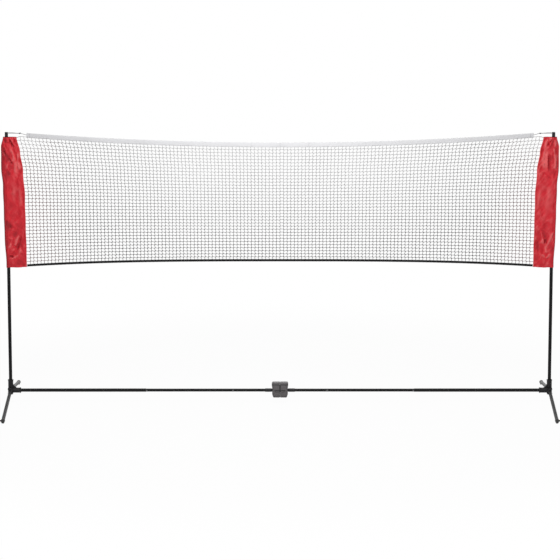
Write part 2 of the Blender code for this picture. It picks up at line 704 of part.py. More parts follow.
def rubber_tip(name, end, slope, carrier):
    """A rubber cup over the tube's end, on a sole that lies flat on the floor."""
    profile = [
        (0.0, 0.0),
        (TIP_RADIUS - TIP_ROUNDING, 0.0),
        (TIP_RADIUS - TIP_ROUNDING / 3, TIP_ROUNDING / 3),
        (TIP_RADIUS, TIP_ROUNDING),
        (TIP_RADIUS, TIP_LENGTH),
        (0.0, TIP_LENGTH),
    ]
    cup = add_piece(f"{name}_rubber_tip", turned(profile, end, -slope), rubber(), carrier)
    facing = math.copysign(1.0, slope.y)
    radius = SOLE_WIDTH / 2
    near = (end.x, end.y - facing * (SOLE_INSET + radius))
    far = (end.x, end.y - facing * (SOLE_INSET + SOLE_LENGTH - radius))
    sole = slab(rounded_slot(far, near, radius), "XY", 0.0, TIP_AXIS_HEIGHT)
    change(cup, f"{name}_sole", sole, "UNION", carrier)
    bore = rod(SOCKET_BORE, end - slope * TIP_FLOOR, end - slope * (TIP_LENGTH + GAP))
    change(cup, f"{name}_tip_bore", bore, "DIFFERENCE", carrier)
    return cup


def post(side, sign):
    """The two post tubes, the ferrule that joins them and the cap on top."""
    carrier = f"{side}_base_slide_axis"
    out = sign * POST_OUT
    bottom = (out, 0.0, POST_BOTTOM)
    joint_low = (out, 0.0, POST_JOINT_HEIGHT - GAP / 2)
    joint_high = (out, 0.0, POST_JOINT_HEIGHT + GAP / 2)
    top = (out, 0.0, POST_TUBE_TOP)
    add_piece(f"{side}_lower_post", pipe(TUBE_RADIUS, TUBE_WALL, bottom, joint_low), coated_steel(), carrier)
    add_piece(f"{side}_upper_post", pipe(TUBE_RADIUS, TUBE_WALL, joint_high, top), coated_steel(), carrier)
    low = (out, 0.0, POST_JOINT_HEIGHT - FERRULE_LENGTH / 2)
    high = (out, 0.0, POST_JOINT_HEIGHT + FERRULE_LENGTH / 2)
    add_piece(f"{side}_post_ferrule", pipe(PLUG_RADIUS, TUBE_WALL, low, high), bright_steel(), carrier)
    profile = [
        (0.0, -CAP_PLUG_LENGTH),
        (PLUG_RADIUS, -CAP_PLUG_LENGTH),
        (PLUG_RADIUS, GAP),
        (CAP_RADIUS, GAP),
        (CAP_RADIUS, CAP_NECK_RISE),
        (CAP_NECK_RADIUS, CAP_NECK_RISE),
        (CAP_NECK_RADIUS, CAP_NECK_RISE + CAP_NECK_HEIGHT),
        (CAP_RADIUS, CAP_NECK_RISE + CAP_NECK_HEIGHT),
        (CAP_RADIUS, CAP_HEIGHT - CAP_CROWN),
        (CAP_RADIUS - CAP_CROWN, CAP_HEIGHT),
        (0.0, CAP_HEIGHT),
    ]
    add_piece(f"{side}_post_cap", turned(profile, top, (0, 0, 1)), black_plastic(), carrier)


def sleeve_half_depth(across, reach):
    """Half of the sleeve's thickness at a distance from the post's axis, reach being that edge."""
    bulge = math.exp(-((across / SLEEVE_BULGE_WIDTH) ** 2))
    depth = SLEEVE_EDGE_HALF + (SLEEVE_POST_HALF - SLEEVE_EDGE_HALF) * bulge
    closing = max(1 - (across / reach) ** SLEEVE_EDGE_POWER, 0.0)
    return depth * math.sqrt(closing)


def sleeve_fold(across, reach, height):
    """How far a slanting fold pushes the cloth forward or back: nothing at the post or at the seams."""
    share = (SLEEVE_TOP - height) / SLEEVE_LENGTH
    away = min(max((abs(across) - TUBE_RADIUS) / FOLD_RUN_OUT, 0.0), 1.0)
    away = away * away * (3 - 2 * away)
    held = 1 - (across / reach) ** FOLD_SEAM_POWER
    wave = math.sin(2 * math.pi * (FOLD_COUNT * share + across / FOLD_SLANT))
    return FOLD_DEPTH * away * held * wave


def sleeve(side, sign):
    """The cloth sleeve: a flat tube of cloth that goes round the post and is sewn to the net."""
    shape = bmesh.new()
    walls = []
    for inset in (0.0, SLEEVE_FABRIC):
        rings = []
        for level in range(SLEEVE_RINGS):
            height = SLEEVE_TOP - SLEEVE_LENGTH * level / (SLEEVE_RINGS - 1)
            outer, inner = sleeve_edges(height)
            ring = []
            for step in range(SLEEVE_SIDES):
                angle = 2 * math.pi * step / SLEEVE_SIDES
                share = math.cos(angle)
                reach = inner if share > 0 else outer
                across = share * (reach - inset)
                depth = sleeve_half_depth(across, reach) - inset
                depth = max(depth, SLEEVE_EDGE_HALF / 2 - inset / 4)
                front = depth * (1 if math.sin(angle) > 0 else -1)
                if abs(math.sin(angle)) < AXIS_TOLERANCE:
                    front = 0.0
                front += sleeve_fold(across, reach, height)
                ring.append(shape.verts.new((sign * (POST_OUT - across), front, height)))
            rings.append(ring)
        walls.append(rings)
    for rings in walls:
        for low, high in zip(rings, rings[1:]):
            join_rings(shape, low, high)
    join_rings(shape, walls[0][0], walls[1][0])
    join_rings(shape, walls[0][-1], walls[1][-1])
    add_piece(f"{side}_sleeve", shape, red_cloth(), f"{side}_base_slide_axis")


def band(name, sign, end, low_line, high_line, thickness, material, carrier):
    """A strip of cloth from the middle of the net out to its end, between two height lines."""
    shape = bmesh.new()
    rings = []
    for step in range(BAND_STEPS + 1):
        out = GAP + (end - GAP) * step / BAND_STEPS
        low = low_line(out)
        high = high_line(out)
        half = thickness / 2
        corners = ((-half, low), (half, low), (half, high), (-half, high))
        rings.append([shape.verts.new((sign * out, y, z)) for y, z in corners])
    for first, second in zip(rings, rings[1:]):
        join_rings(shape, first, second)
    shape.faces.new(rings[0])
    shape.faces.new(list(reversed(rings[-1])))
    add_piece(name, shape, material, carrier)


def tape_bottom(out):
    return tape_top(out) - TAPE_HEIGHT


def hem_top(out):
    return hem_middle(out) + HEM_HEIGHT / 2


def hem_bottom(out):
    return hem_middle(out) - HEM_HEIGHT / 2


def bar_edges(count, span, width, border):
    """The two edges of each of count + 1 evenly spaced bars across a span, as shares of it."""
    edges = [0.0, border / span]
    for number in range(1, count):
        middle = number / count
        edges += [middle - width / span / 2, middle + width / span / 2]
    return edges + [1 - border / span, 1.0]


def net(side, sign):
    """Half of the net as an open lattice, with its border strings."""
    shape = bmesh.new()
    middle_height = (TAPE_MIDDLE_TOP + HEM_MIDDLE) / 2
    span = net_end(middle_height)
    drop = TAPE_MIDDLE_TOP - HEM_MIDDLE
    columns = bar_edges(NET_COLUMNS, span, NET_STRING, NET_BORDER)
    rows = bar_edges(NET_ROWS, drop, NET_STRING, NET_STRING)
    half = NET_STRING / 2
    grid = {}
    for i, across in enumerate(columns):
        for j, up in enumerate(rows):
            out = GAP + (span - GAP) * across
            low = hem_top(out) + GAP
            high = tape_bottom(out) - GAP
            height = low + (high - low) * up
            out = GAP + (net_end(height) - GAP) * across
            for face, y in enumerate((-half, half)):
                grid[i, j, face] = shape.verts.new((sign * out, y, height))

    def is_string(i, j):
        inside = 0 <= i < len(columns) - 1 and 0 <= j < len(rows) - 1
        return inside and (i % 2 == 0 or j % 2 == 0)

    for i in range(len(columns) - 1):
        for j in range(len(rows) - 1):
            if not is_string(i, j):
                continue
            corners = ((i, j), (i + 1, j), (i + 1, j + 1), (i, j + 1))
            shape.faces.new([grid[a, b, 0] for a, b in corners])
            shape.faces.new([grid[a, b, 1] for a, b in reversed(corners)])
            beside = ((i, j - 1), (i + 1, j), (i, j + 1), (i - 1, j))
            for number, cell in enumerate(beside):
                if not is_string(*cell):
                    first = corners[number]
                    second = corners[(number + 1) % 4]
                    wall = [grid[*first, 0], grid[*first, 1], grid[*second, 1], grid[*second, 0]]
                    shape.faces.new(wall)
    add_piece(f"{side}_net", shape, net_string(), f"{side}_arm_fold_axis")


def bent_run(start, end, leave, arrive, steps):
    """The points after start of a curve to end, drawn towards start + leave and then end + arrive."""
    points = []
    for step in range(1, steps + 1):
        part = step / steps
        near = start * (1 - part) ** 3 + (start + leave) * (3 * part * (1 - part) ** 2)
        far = (end + arrive) * (3 * part * part * (1 - part)) + end * part**3
        points.append(near + far)
    return points


def cord_line(sign):
    """The cord's middle line: from the tape through the knot, round the cap's neck and back to the knot."""
    neck = Vector((POST_OUT, 0.0, POST_TUBE_TOP + CAP_NECK_RISE + CAP_NECK_HEIGHT / 2))
    radius = CAP_NECK_RADIUS + CORD_RADIUS + GAP
    free_angle = math.acos(radius / CORD_KNOT_BACK)
    turn = []
    for step in range(CORD_TURN_POINTS + 1):
        angle = free_angle + 2 * (math.pi - free_angle) * step / CORD_TURN_POINTS
        turn.append(neck - Vector((math.cos(angle), math.sin(angle), 0.0)) * radius)
    tie = Vector((TAPE_END_OUT + GAP, 0.0, TAPE_END_TOP - CORD_TIE_DROP))
    beside = Vector((0.0, CORD_RADIUS + CORD_STRAND_GAP / 2, 0.0))
    knot = Vector((POST_OUT - CORD_KNOT_BACK, 0.0, TAPE_END_TOP - CORD_KNOT_DROP))
    outwards = Vector((CORD_PULL, 0.0, 0.0))
    tie_pull = Vector((CORD_TIE_PULL, 0.0, 0.0))
    front_hump = Vector((0.0, 0.0, CORD_FRONT_HUMP))
    rear_hump = Vector((0.0, 0.0, CORD_REAR_HUMP))
    points = [tie]
    points += bent_run(tie, knot - beside, tie_pull, -tie_pull, CORD_TIE_POINTS)
    points += bent_run(knot - beside, turn[0], outwards, front_hump - outwards, CORD_RUN_POINTS)
    points += turn[1:]
    points += bent_run(turn[-1], knot + beside, rear_hump - outwards, outwards, CORD_RUN_POINTS)
    return [Vector((sign * point.x, point.y, point.z)) for point in points]


def top_cord(side, sign):
    """The cord that loops round the cap's neck and ties the end of the tape to it, as one unbroken tube."""
    points = cord_line(sign)
    carrier = f"{side}_base_slide_axis"
    empty, place = pivots[carrier]
    curve = bpy.data.curves.new(f"{side}_top_cord", "CURVE")
    curve.dimensions = "3D"
    curve.bevel_depth = CORD_RADIUS
    curve.bevel_resolution = 2
    curve.render_resolution_u = 0
    curve.use_fill_caps = True
    line = curve.splines.new("POLY")
    line.points.add(len(points) - 1)
    for spot, point in zip(line.points, points):
        spot.co = (*(point - place), 1.0)
    curve.materials.append(black_cloth())
    cord = bpy.data.objects.new(f"{side}_top_cord", curve)
    bpy.context.scene.collection.objects.link(cord)
    cord.parent = empty


def main():
    clear_scene()
    make_pivots()
    hub_link()
    for side, sign in SIDES.items():
        carrier = f"{side}_arm_fold_axis"
        hub_half(side, sign)
        inner_tube(side, sign)
        snap_clip(side, sign, "lock", LOCK_BUTTON_OUT)
        snap_clip(side, sign, "stow", STOW_BUTTON_OUT)
        outer_tube(side, sign)
        corner_fitting(side, sign)
        for name, facing in FEET.items():
            foot(side, sign, name, facing)
        post(side, sign)
        sleeve(side, sign)
        net(side, sign)
        band(
            f"{side}_top_tape", sign, TAPE_END_OUT, tape_bottom, tape_top,
            TAPE_THICKNESS, white_cloth(), carrier,
        )
        band(
            f"{side}_bottom_hem", sign, net_end(HEM_END), hem_bottom, hem_top,
            HEM_THICKNESS, black_cloth(), carrier,
        )
        top_cord(side, sign)


main()
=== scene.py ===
"""Looks of a portable badminton net: string mesh, webbing, cloth sleeves, cords and finishes.

The rigid pieces keep their solids and get their finishes here; the soft pieces are made here.
Sizes are in metres. The net hangs in the X-Z plane, left and right of the middle at x = 0.
"""
import math

import bpy
import numpy as np
from bpy.props import FloatProperty, FloatVectorProperty, IntProperty, PointerProperty
from bpy.types import Operator, Panel, PropertyGroup
from mathutils import Euler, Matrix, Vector


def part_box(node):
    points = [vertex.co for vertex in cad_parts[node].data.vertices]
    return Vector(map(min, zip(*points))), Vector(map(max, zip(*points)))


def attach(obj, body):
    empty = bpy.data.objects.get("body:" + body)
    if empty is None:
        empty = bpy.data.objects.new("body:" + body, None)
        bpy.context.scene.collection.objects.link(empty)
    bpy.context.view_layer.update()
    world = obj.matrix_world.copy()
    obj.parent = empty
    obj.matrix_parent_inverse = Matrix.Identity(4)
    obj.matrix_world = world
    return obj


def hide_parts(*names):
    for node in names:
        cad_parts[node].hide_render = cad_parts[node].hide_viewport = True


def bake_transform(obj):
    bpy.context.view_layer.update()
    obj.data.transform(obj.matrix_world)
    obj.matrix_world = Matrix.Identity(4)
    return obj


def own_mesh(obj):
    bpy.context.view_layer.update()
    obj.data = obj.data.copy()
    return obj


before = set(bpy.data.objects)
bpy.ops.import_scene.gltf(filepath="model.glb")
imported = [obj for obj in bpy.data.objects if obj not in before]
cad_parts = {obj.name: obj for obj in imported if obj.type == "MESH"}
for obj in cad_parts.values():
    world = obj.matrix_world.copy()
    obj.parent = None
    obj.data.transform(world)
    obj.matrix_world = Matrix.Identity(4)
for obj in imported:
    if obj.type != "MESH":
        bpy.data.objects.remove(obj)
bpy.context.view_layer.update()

bl_info = {
    "name": "Badminton Net",
    "version": (1, 0, 0),
    "blender": (4, 5, 0),
    "location": "3D View > Sidebar > Badminton Net",
    "description": "Makes the mesh, webbing, sleeves, cords and finishes of a portable badminton net",
    "category": "Object",
}

SIDES = {"left": -1, "right": 1}

# Places that come from the frame
POST_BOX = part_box("right_lower_post")
TAPE_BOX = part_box("right_top_tape")
HEM_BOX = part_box("right_bottom_hem")
SLEEVE_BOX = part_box("right_sleeve")
POST_OUT = (POST_BOX[0].x + POST_BOX[1].x) / 2
TOTAL_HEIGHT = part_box("right_post_cap")[1].z
SLEEVE_TOP = SLEEVE_BOX[1].z
SLEEVE_LENGTH = SLEEVE_BOX[1].z - SLEEVE_BOX[0].z
TAPE_END_OUT = TAPE_BOX[1].x
TAPE_END_TOP = TAPE_BOX[1].z

# Sizes of the solids that the soft pieces follow
POST_RADIUS = 0.0095
TAPE_HEIGHT = 0.0240
TAPE_MIDDLE_TOP = TAPE_BOX[0].z + TAPE_HEIGHT
HEM_HEIGHT = 0.0095
HEM_MIDDLE = HEM_BOX[1].z - HEM_HEIGHT / 2
HEM_ARCH = 0.0290
HEM_CURVE_POWER = 3

# Where the soft pieces are divided, so that each part can follow its own body
MIDDLE_REACH = 0.160
END_START = 1.400
DIVISIONS = (-END_START, -MIDDLE_REACH, MIDDLE_REACH, END_START)
NEAR_MIDDLE = 1e-6
NEARLY_UPRIGHT = 1e-3

# The sleeve's edges, as distances from the post's axis at shares of its length from the top down, and the gap
# between the sleeve and the mesh
SLEEVE_OUTER_EDGE = ((0, 0.0190), (0.08, 0.0320), (0.25, 0.0320), (0.38, 0.0240), (0.72, 0.0205), (1, 0.0120))
SLEEVE_INNER_EDGE = ((0, 0.0560), (0.12, 0.0760), (0.26, 0.0900), (0.46, 0.0985), (1, 0.1030))
SEAM_GAP = 0.0018


def size_setting(name, description, default, unit="LENGTH"):
    """A size or level that a user can change."""
    return FloatProperty(name=name, description=description, default=default, unit=unit)


def count_setting(name, description, default):
    """A number of things that a user can change."""
    return IntProperty(name=name, description=description, default=default)


def colour_setting(name, description, default):
    """A colour that a user can change, as red, green and blue."""
    return FloatVectorProperty(name=name, description=description, default=default, subtype="COLOR")


class CordSizes(PropertyGroup):
    """The two cords that tie the tape to the post caps."""

    diameter: size_setting("Cord diameter", "Thickness of the cord", 0.0022)
    knot: size_setting("Knot size", "Width of the knot before the tape", 0.0125)


class MeshSizes(PropertyGroup):
    """The knotted string mesh."""

    columns: count_setting("Columns each side", "Upright strings from the middle to a sleeve", 70)
    rows: count_setting("Rows", "Strings that run across", 35)
    string: size_setting("String thickness", "Diameter of the string", 0.0025)
    knot: size_setting("Knot length", "Length of a knot along its slant", 0.0100)
    lean: size_setting("Knot lean", "How far beside and above its middle a knot takes its strings", 0.0015)
    selvage: size_setting("Selvage gap", "From the last upright string to the sleeve", 0.018)


class BandSizes(PropertyGroup):
    """The white tape along the top and the black hem along the bottom."""

    tape_height: size_setting("Tape height", "From the tape's fold to its edges", 0.0260)
    hem_height: size_setting("Hem height", "From the hem's fold to its edges", 0.0130)
    tape_thickness: size_setting("Tape thickness", "The folded tape over its head rope", 0.0040)
    hem_thickness: size_setting("Hem thickness", "The folded hem", 0.0036)
    cloth: size_setting("Webbing thickness", "One layer of webbing", 0.0008)
    stitch: size_setting("Stitch length", "Length of one stitch", 0.0034)
    stitch_pitch: size_setting("Stitch pitch", "From one stitch to the next", 0.0048)


class SleeveSizes(PropertyGroup):
    """The cloth sleeves round the posts."""

    rings: count_setting("Rings", "Divisions down a sleeve", 320)
    sides: count_setting("Sides", "Divisions round a sleeve", 128)
    fold: size_setting("Fold depth", "How far the slack cloth swings out", 0.0075)
    crease: size_setting("Crease depth", "How far a pulled crease stands out", 0.0065)
    wrinkle: size_setting("Wrinkle depth", "Height of the small irregular wrinkles", 0.0030)
    hem: size_setting("Hem depth", "From the cloth's edge to its row of stitches", 0.014)


class NetColours(PropertyGroup):
    """Colours of the cloth, cords, plastic and steel."""

    sleeve: colour_setting("Sleeve red", "Polyester of the sleeves", (0.69, 0.018, 0.031))
    tape: colour_setting("Tape white", "Webbing of the tape", (0.92, 0.92, 0.94))
    hem: colour_setting("Hem black", "Webbing of the hem", (0.011, 0.011, 0.012))
    string: colour_setting("String black", "Twisted string of the mesh", (0.042, 0.040, 0.041))
    brown: colour_setting("String brown", "String beside the sleeves", (0.150, 0.050, 0.046))
    # The pale colour of the string's painted highlight
    string_highlight: colour_setting("String highlight", "Painted highlight on the string", (0.640, 0.638, 0.645))
    cord: colour_setting("Cord black", "Braided cord", (0.014, 0.014, 0.015))
    steel: colour_setting("Coat black", "Powder coat of the tubes", (0.009, 0.009, 0.0095))
    hub: colour_setting("Hub grey", "Moulded plastic of the hub", (0.105, 0.096, 0.099))
    plastic: colour_setting("Plastic black", "Moulded plastic of the fittings", (0.015, 0.0145, 0.016))
    rubber: colour_setting("Rubber black", "Rubber of the feet", (0.012, 0.012, 0.012))
    bright: colour_setting("Bright steel", "Zinc plated steel", (0.16, 0.16, 0.165))


class StudioSizes(PropertyGroup):
    """The camera, the floor and the lights."""

    distance: size_setting("Camera distance", "From the net's middle", 16.0)
    height: size_setting("Camera height", "Above the floor", 3.70)
    tilt: size_setting("Camera tilt", "How far the camera looks down", math.radians(10.58), "ROTATION")
    lens: size_setting("Lens", "Focal length on a 36 mm sensor, in millimetres", 185.7, "CAMERA")
    floor: size_setting("Floor size", "Width of the floor", 60.0)
    key: size_setting("Key lamp", "Power of the lamp above the net, in watts", 95.0, "POWER")
    fill: size_setting("Front panel", "Power of the wide panel in front, in watts", 80.0, "POWER")
    back: size_setting("Back panel", "Power of the wide panel behind, in watts", 80.0, "POWER")
    ambient: size_setting("Ambient level", "Strength of the light from all round", 0.22, "NONE")


def smooth(part):
    """An S-shaped change from 0 to 1."""
    part = np.clip(part, 0.0, 1.0)
    return part * part * (3 - 2 * part)


def hump(distance, width):
    """A round hump of unit height, almost gone at twice its width."""
    return np.exp(-((distance / width) ** 2))


def unit(arrows):
    """The same directions, each with a length of 1."""
    return arrows / np.linalg.norm(arrows, axis=-1, keepdims=True)


def along_table(table, share):
    """Smooth value between a table's (share, value) points."""
    share = np.asarray(share, float)
    value = np.full(share.shape, table[0][1])
    for (low, first), (high, last) in zip(table, table[1:]):
        value = np.where(share >= low, first + (last - first) * smooth((share - low) / (high - low)), value)
    return value


def sleeve_edges(share):
    """How far the sleeve's outer and inner edges lie from the post's axis, at a share of its length."""
    return along_table(SLEEVE_OUTER_EDGE, share), along_table(SLEEVE_INNER_EDGE, share)


def net_end(height):
    """Where the mesh meets its sleeve, out from the middle."""
    share = np.clip((SLEEVE_TOP - np.asarray(height, float)) / SLEEVE_LENGTH, 0.0, 1.0)
    return POST_OUT - sleeve_edges(share)[1] - SEAM_GAP


def tape_top(out):
    """Height of the tape's fold."""
    return TAPE_MIDDLE_TOP + (TAPE_END_TOP - TAPE_MIDDLE_TOP) * (np.abs(out) / TAPE_END_OUT) ** 2


def hem_middle(out):
    """Height of the middle of the hem's solid."""
    return HEM_MIDDLE - HEM_ARCH * (np.abs(out) / TAPE_END_OUT) ** HEM_CURVE_POWER


def new_piece(name, places, faces, finish):
    """A smoothly shaded mesh object from its points and faces."""
    mesh = bpy.data.meshes.new(name)
    mesh.from_pydata(places.tolist(), [], faces.tolist())
    mesh.update()
    mesh.shade_smooth()
    mesh.materials.append(finish)
    piece = bpy.data.objects.new(name, mesh)
    bpy.context.scene.collection.objects.link(piece)
    return piece


class Shape:
    """Points and four-sided faces that are gathered before they become one mesh."""

    def __init__(self):
        self.places = []
        self.faces = []
        self.count = 0

    def add(self, places, faces):
        """Take in an array of points and the faces that join them."""
        self.places.append(places)
        self.faces.append(faces + self.count)
        self.count += len(places)

    def piece(self, name, finish, slot):
        """One object made of all that was added."""
        return new_piece(name, np.concatenate(self.places), np.concatenate(self.faces), finish)


def ring_faces(rings, sides):
    """Faces between neighbouring rings of a tube, and none over its ends."""
    step, side = np.meshgrid(np.arange(rings - 1), np.arange(sides), indexing="ij")
    after = (side + 1) % sides
    below = step + 1
    corners = [step * sides + side, step * sides + after, below * sides + after, below * sides + side]
    return np.stack([corner.ravel() for corner in corners], 1)


def square_faces(rings):
    """Faces of a four-sided tube with closed ends."""
    last = 4 * (rings - 1)
    ends = np.array([(3, 2, 1, 0), (last, last + 1, last + 2, last + 3)])
    return np.concatenate([ring_faces(rings, 4), ends])


def turned_out(places, faces):
    """The same faces, each one turned over where the closed shape would be inside out."""
    a, b, c, d = (places[faces[:, k]] for k in range(4))
    volume = (a * np.cross(b, c)).sum() + (a * np.cross(c, d)).sum()
    return faces if volume > 0 else faces[:, ::-1]


def square_string(line, radius):
    """A four-sided string with closed ends along a line in the net's plane."""
    line = np.asarray(line, float)
    forward = np.array((0.0, 1.0, 0.0))
    aside = unit(np.cross(unit(np.gradient(line, axis=0)), forward))
    corners = [line + radius * forward, line + radius * aside, line - radius * forward, line - radius * aside]
    return np.stack(corners, 1).reshape(-1, 3), square_faces(len(line))


def round_tube(line, radius, sides):
    """The points of a round tube, ring by ring along a line."""
    run = unit(np.gradient(line, axis=0))
    upright = np.cross(run, (0.0, 0.0, 1.0))
    rising = np.linalg.norm(upright, axis=1) < NEARLY_UPRIGHT
    upright[rising] = np.cross(run[rising], (0.0, 1.0, 0.0))
    upright = unit(upright)
    other = np.cross(run, upright)
    angle = 2 * math.pi * np.arange(sides)[None, :, None] / sides
    places = line[:, None] + radius * (np.cos(angle) * upright[:, None] + np.sin(angle) * other[:, None])
    return places.reshape(-1, 3)


def cut_line(line):
    """Divide a line where it crosses from one stretch of the net into another."""
    fine = [line[0]]
    for first, last in zip(line, line[1:]):
        crossed = [x for x in DIVISIONS if (first[0] - x) * (last[0] - x) < 0]
        for x in sorted(crossed, reverse=bool(last[0] < first[0])):
            share = (x - first[0]) / (last[0] - first[0])
            fine.append(first + (last - first) * share)
        fine.append(last)
    runs = {}
    for first, last in zip(fine, fine[1:]):
        zone = zone_of((first[0] + last[0]) / 2)
        run = runs.setdefault(zone, [])
        if not run or not np.allclose(run[-1][-1], first):
            run.append([first])
        run[-1].append(last)
    return runs


def zone_of(x):
    """The side and the stretch of the net that a place belongs to."""
    side = "right" if x > NEAR_MIDDLE else "left"
    out = abs(x)
    if out < MIDDLE_REACH:
        return side, "middle"
    return side, "main" if out < END_START else "end"


def follow_bodies(piece, side, stretch):
    """Let a part of the net, tape or hem move with the body that holds it."""
    if stretch == "middle":
        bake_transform(piece)
    elif stretch == "main":
        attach(piece, f"{side}_arm")
        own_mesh(piece)
    else:
        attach(piece, f"{side}_post")


class Nodes:
    """A node tree and short ways to add to it."""

    def __init__(self, tree):
        self.nodes = tree.nodes
        self.links = tree.links

    def put(self, value, socket):
        """Link an output to a socket, or set the socket to a plain value."""
        if isinstance(value, bpy.types.NodeSocket):
            self.links.new(value, socket)
        else:
            socket.default_value = (*value, 1.0) if socket.type == "RGBA" else value

    def add(self, kind, inputs, **settings):
        """A new node with its own settings, and with its inputs linked or set."""
        node = self.nodes.new(kind)
        for name, value in settings.items():
            setattr(node, name, value)
        for name, value in inputs.items():
            self.put(value, node.inputs[name])
        return node

    def maths(self, operation, first, second=0.0):
        """A value made from one or two others."""
        return self.add("ShaderNodeMath", {0: first, 1: second}, operation=operation).outputs["Value"]

    def spread(self, value, low, high, first, last, **settings):
        """A value read from one range into another."""
        inputs = {"Value": value, "From Min": low, "From Max": high, "To Min": first, "To Max": last}
        return self.add("ShaderNodeMapRange", inputs, **settings).outputs["Result"]

    def seen_white(self):
        """1 for rays from the camera, reflections and glass, and 0 for other rays."""
        rays = self.add("ShaderNodeLightPath", {}).outputs
        direct = self.maths("MAXIMUM", rays["Is Camera Ray"], rays["Is Glossy Ray"])
        return self.maths("MAXIMUM", direct, rays["Is Transmission Ray"])


class Finish(Nodes):
    """A material and the texture nodes that feed its shader."""

    def __init__(self, name, colour, roughness, levels):
        """levels holds the shader's other plain settings by name."""
        self.material = bpy.data.materials.new(name)
        self.material.use_nodes = True
        super().__init__(self.material.node_tree)
        self.shader = self.nodes["Principled BSDF"].inputs
        for socket, level in {"Base Color": colour, "Roughness": roughness, **levels}.items():
            self.put(level, self.shader[socket])
        self.material.diffuse_color = (*colour, 1.0)
        self.place = self.add("ShaderNodeTexCoord", {}).outputs["Object"]
        self.relief = None

    def stretched(self, scale, turn=(0.0, 0.0, 0.0)):
        """The surface's own coordinates, scaled and turned."""
        inputs = {"Vector": self.place, "Scale": scale, "Rotation": turn}
        return self.add("ShaderNodeMapping", inputs).outputs["Vector"]

    def noise(self, scale, detail, vector=None):
        """Irregular patches, or fine lines where the coordinates are stretched."""
        inputs = {"Vector": vector or self.place, "Scale": scale, "Detail": detail}
        return self.add("ShaderNodeTexNoise", inputs).outputs["Fac"]

    def wave(self, pitch, direction, vector=None):
        """Ridges a pitch apart across the X, Y, Z or diagonal direction."""
        inputs = {"Vector": vector or self.place, "Scale": math.pi / (10 * pitch)}
        node = self.add("ShaderNodeTexWave", inputs, wave_type="BANDS", bands_direction=direction)
        return node.outputs["Fac"]

    def weave(self, across, down):
        """Woven threads, with a pitch across the cloth and one down it."""
        return self.maths("MULTIPLY", self.wave(across, "X"), self.wave(down, "Z"))

    def tint(self, share, first, last):
        """A mix of two colours."""
        node = self.add("ShaderNodeMix", {"Factor": share}, data_type="RGBA")
        for colour, socket in zip((first, last), (s for s in node.inputs if s.type == "RGBA")):
            self.put(colour, socket)
        return next(s for s in node.outputs if s.type == "RGBA")

    def over(self, colour, other, value, start, full, most=1.0):
        """A colour that another one covers, from none at a value's start to the most at its full."""
        return self.tint(self.spread(value, start, full, 0.0, most), colour, other)

    def axis(self, name):
        """One of the surface's own coordinates."""
        return self.add("ShaderNodeSeparateXYZ", {"Vector": self.place}).outputs[name]

    def out(self):
        """Distance from the net's middle."""
        return self.maths("ABSOLUTE", self.axis("X"))

    def stored(self, name):
        """A value that the mesh keeps at each of its points."""
        return self.add("ShaderNodeAttribute", {}, attribute_name=name).outputs["Fac"]

    def bump(self, height, depth, strength):
        """Relief over what is already there, depth being its real height."""
        inputs = {"Height": height, "Distance": depth, "Strength": strength}
        if self.relief:
            inputs["Normal"] = self.relief
        self.relief = self.add("ShaderNodeBump", inputs).outputs["Normal"]
        self.put(self.relief, self.shader["Normal"])

    def paint(self, colour):
        """Give the shader its colour."""
        self.put(colour, self.shader["Base Color"])

    def rough(self, value, low, high, first, last):
        """Roughness that follows a value, read from one range into another."""
        self.put(self.spread(value, low, high, first, last), self.shader["Roughness"])


finishes = {}


def shades(colour, factor):
    """A colour made lighter or darker."""
    return tuple(min(channel * factor, 1.0) for channel in colour)


def once(maker):
    """Make a finish the first time that it is asked for."""
    def given():
        if maker.__name__ not in finishes:
            finishes[maker.__name__] = maker(bpy.context.scene.net_colours).material
        return finishes[maker.__name__]
    return given


@once
def sleeve_cloth(colours):
    """Plain-woven red polyester with a soft sheen, with painted shade in its valleys and a painted pale sheen
    on its crests.
    """
    red = colours.sleeve
    made = Finish("red_polyester", red, 0.46, {"Specular IOR Level": 0.30})
    blotches = made.noise(18.0, 4.0)
    weave = made.weave(0.00062, 0.00062)
    threads = made.noise(1.0, 2.0, made.stretched((1400.0, 60.0, 60.0)))
    crest = made.stored("crest")
    colour = made.over(shades(red, 0.90), shades(red, 1.08), blotches, 0.3, 0.7)
    colour = made.over(colour, shades(red, 0.45), weave, 1.0, 0.0, most=0.22)
    colour = made.over(colour, shades(red, 1.35), threads, 0.35, 0.75, most=0.20)
    # Painted shade where the stored painted light is below 0, and a painted pale sheen where it is above 0
    colour = made.over(colour, shades(red, 0.45), crest, 0.0, -0.8, most=0.85)
    made.paint(made.over(colour, (0.82, 0.130, 0.135), crest, 0.05, 0.8, most=0.95))
    made.rough(blotches, 0.3, 0.7, 0.40, 0.52)
    made.bump(weave, 0.00010, 0.5)
    made.bump(made.noise(130.0, 3.0), 0.0006, 0.45)
    return made


@once
def tape_webbing(colours):
    """White woven tape with fine ribs across it and a little dirt, with painted shade that greys it towards
    its ends.
    """
    made = Finish("white_webbing", colours.tape, 0.78, {"Sheen Weight": 0.12})
    grime_and_shade = made.noise(9.0, 5.0)
    weave = made.weave(0.0011, 0.0008)
    # Painted shade: greyer towards the tape's ends
    colour = made.over(colours.tape, shades(colours.tape, 0.74), made.out(), 0.25, 1.30, most=0.62)
    colour = made.over(colour, (0.55, 0.54, 0.53), grime_and_shade, 0.45, 0.75, most=0.12)
    made.paint(made.over(colour, (0.50, 0.50, 0.52), weave, 1.0, 0.0, most=0.12))
    made.rough(grime_and_shade, 0.3, 0.7, 0.74, 0.86)
    made.bump(weave, 0.00020, 0.7)
    made.bump(made.noise(70.0, 3.0), 0.0006, 0.4)
    return made


@once
def hem_webbing(colours):
    """Black woven binding, dusty in patches."""
    made = Finish("black_webbing", colours.hem, 0.82, {"Specular IOR Level": 0.15})
    dust = made.noise(22.0, 4.0)
    made.paint(made.over(colours.hem, (0.050, 0.048, 0.047), dust, 0.4, 0.8, most=0.20))
    made.rough(dust, 0.3, 0.7, 0.76, 0.88)
    made.bump(made.weave(0.0011, 0.0009), 0.00022, 0.8)
    return made


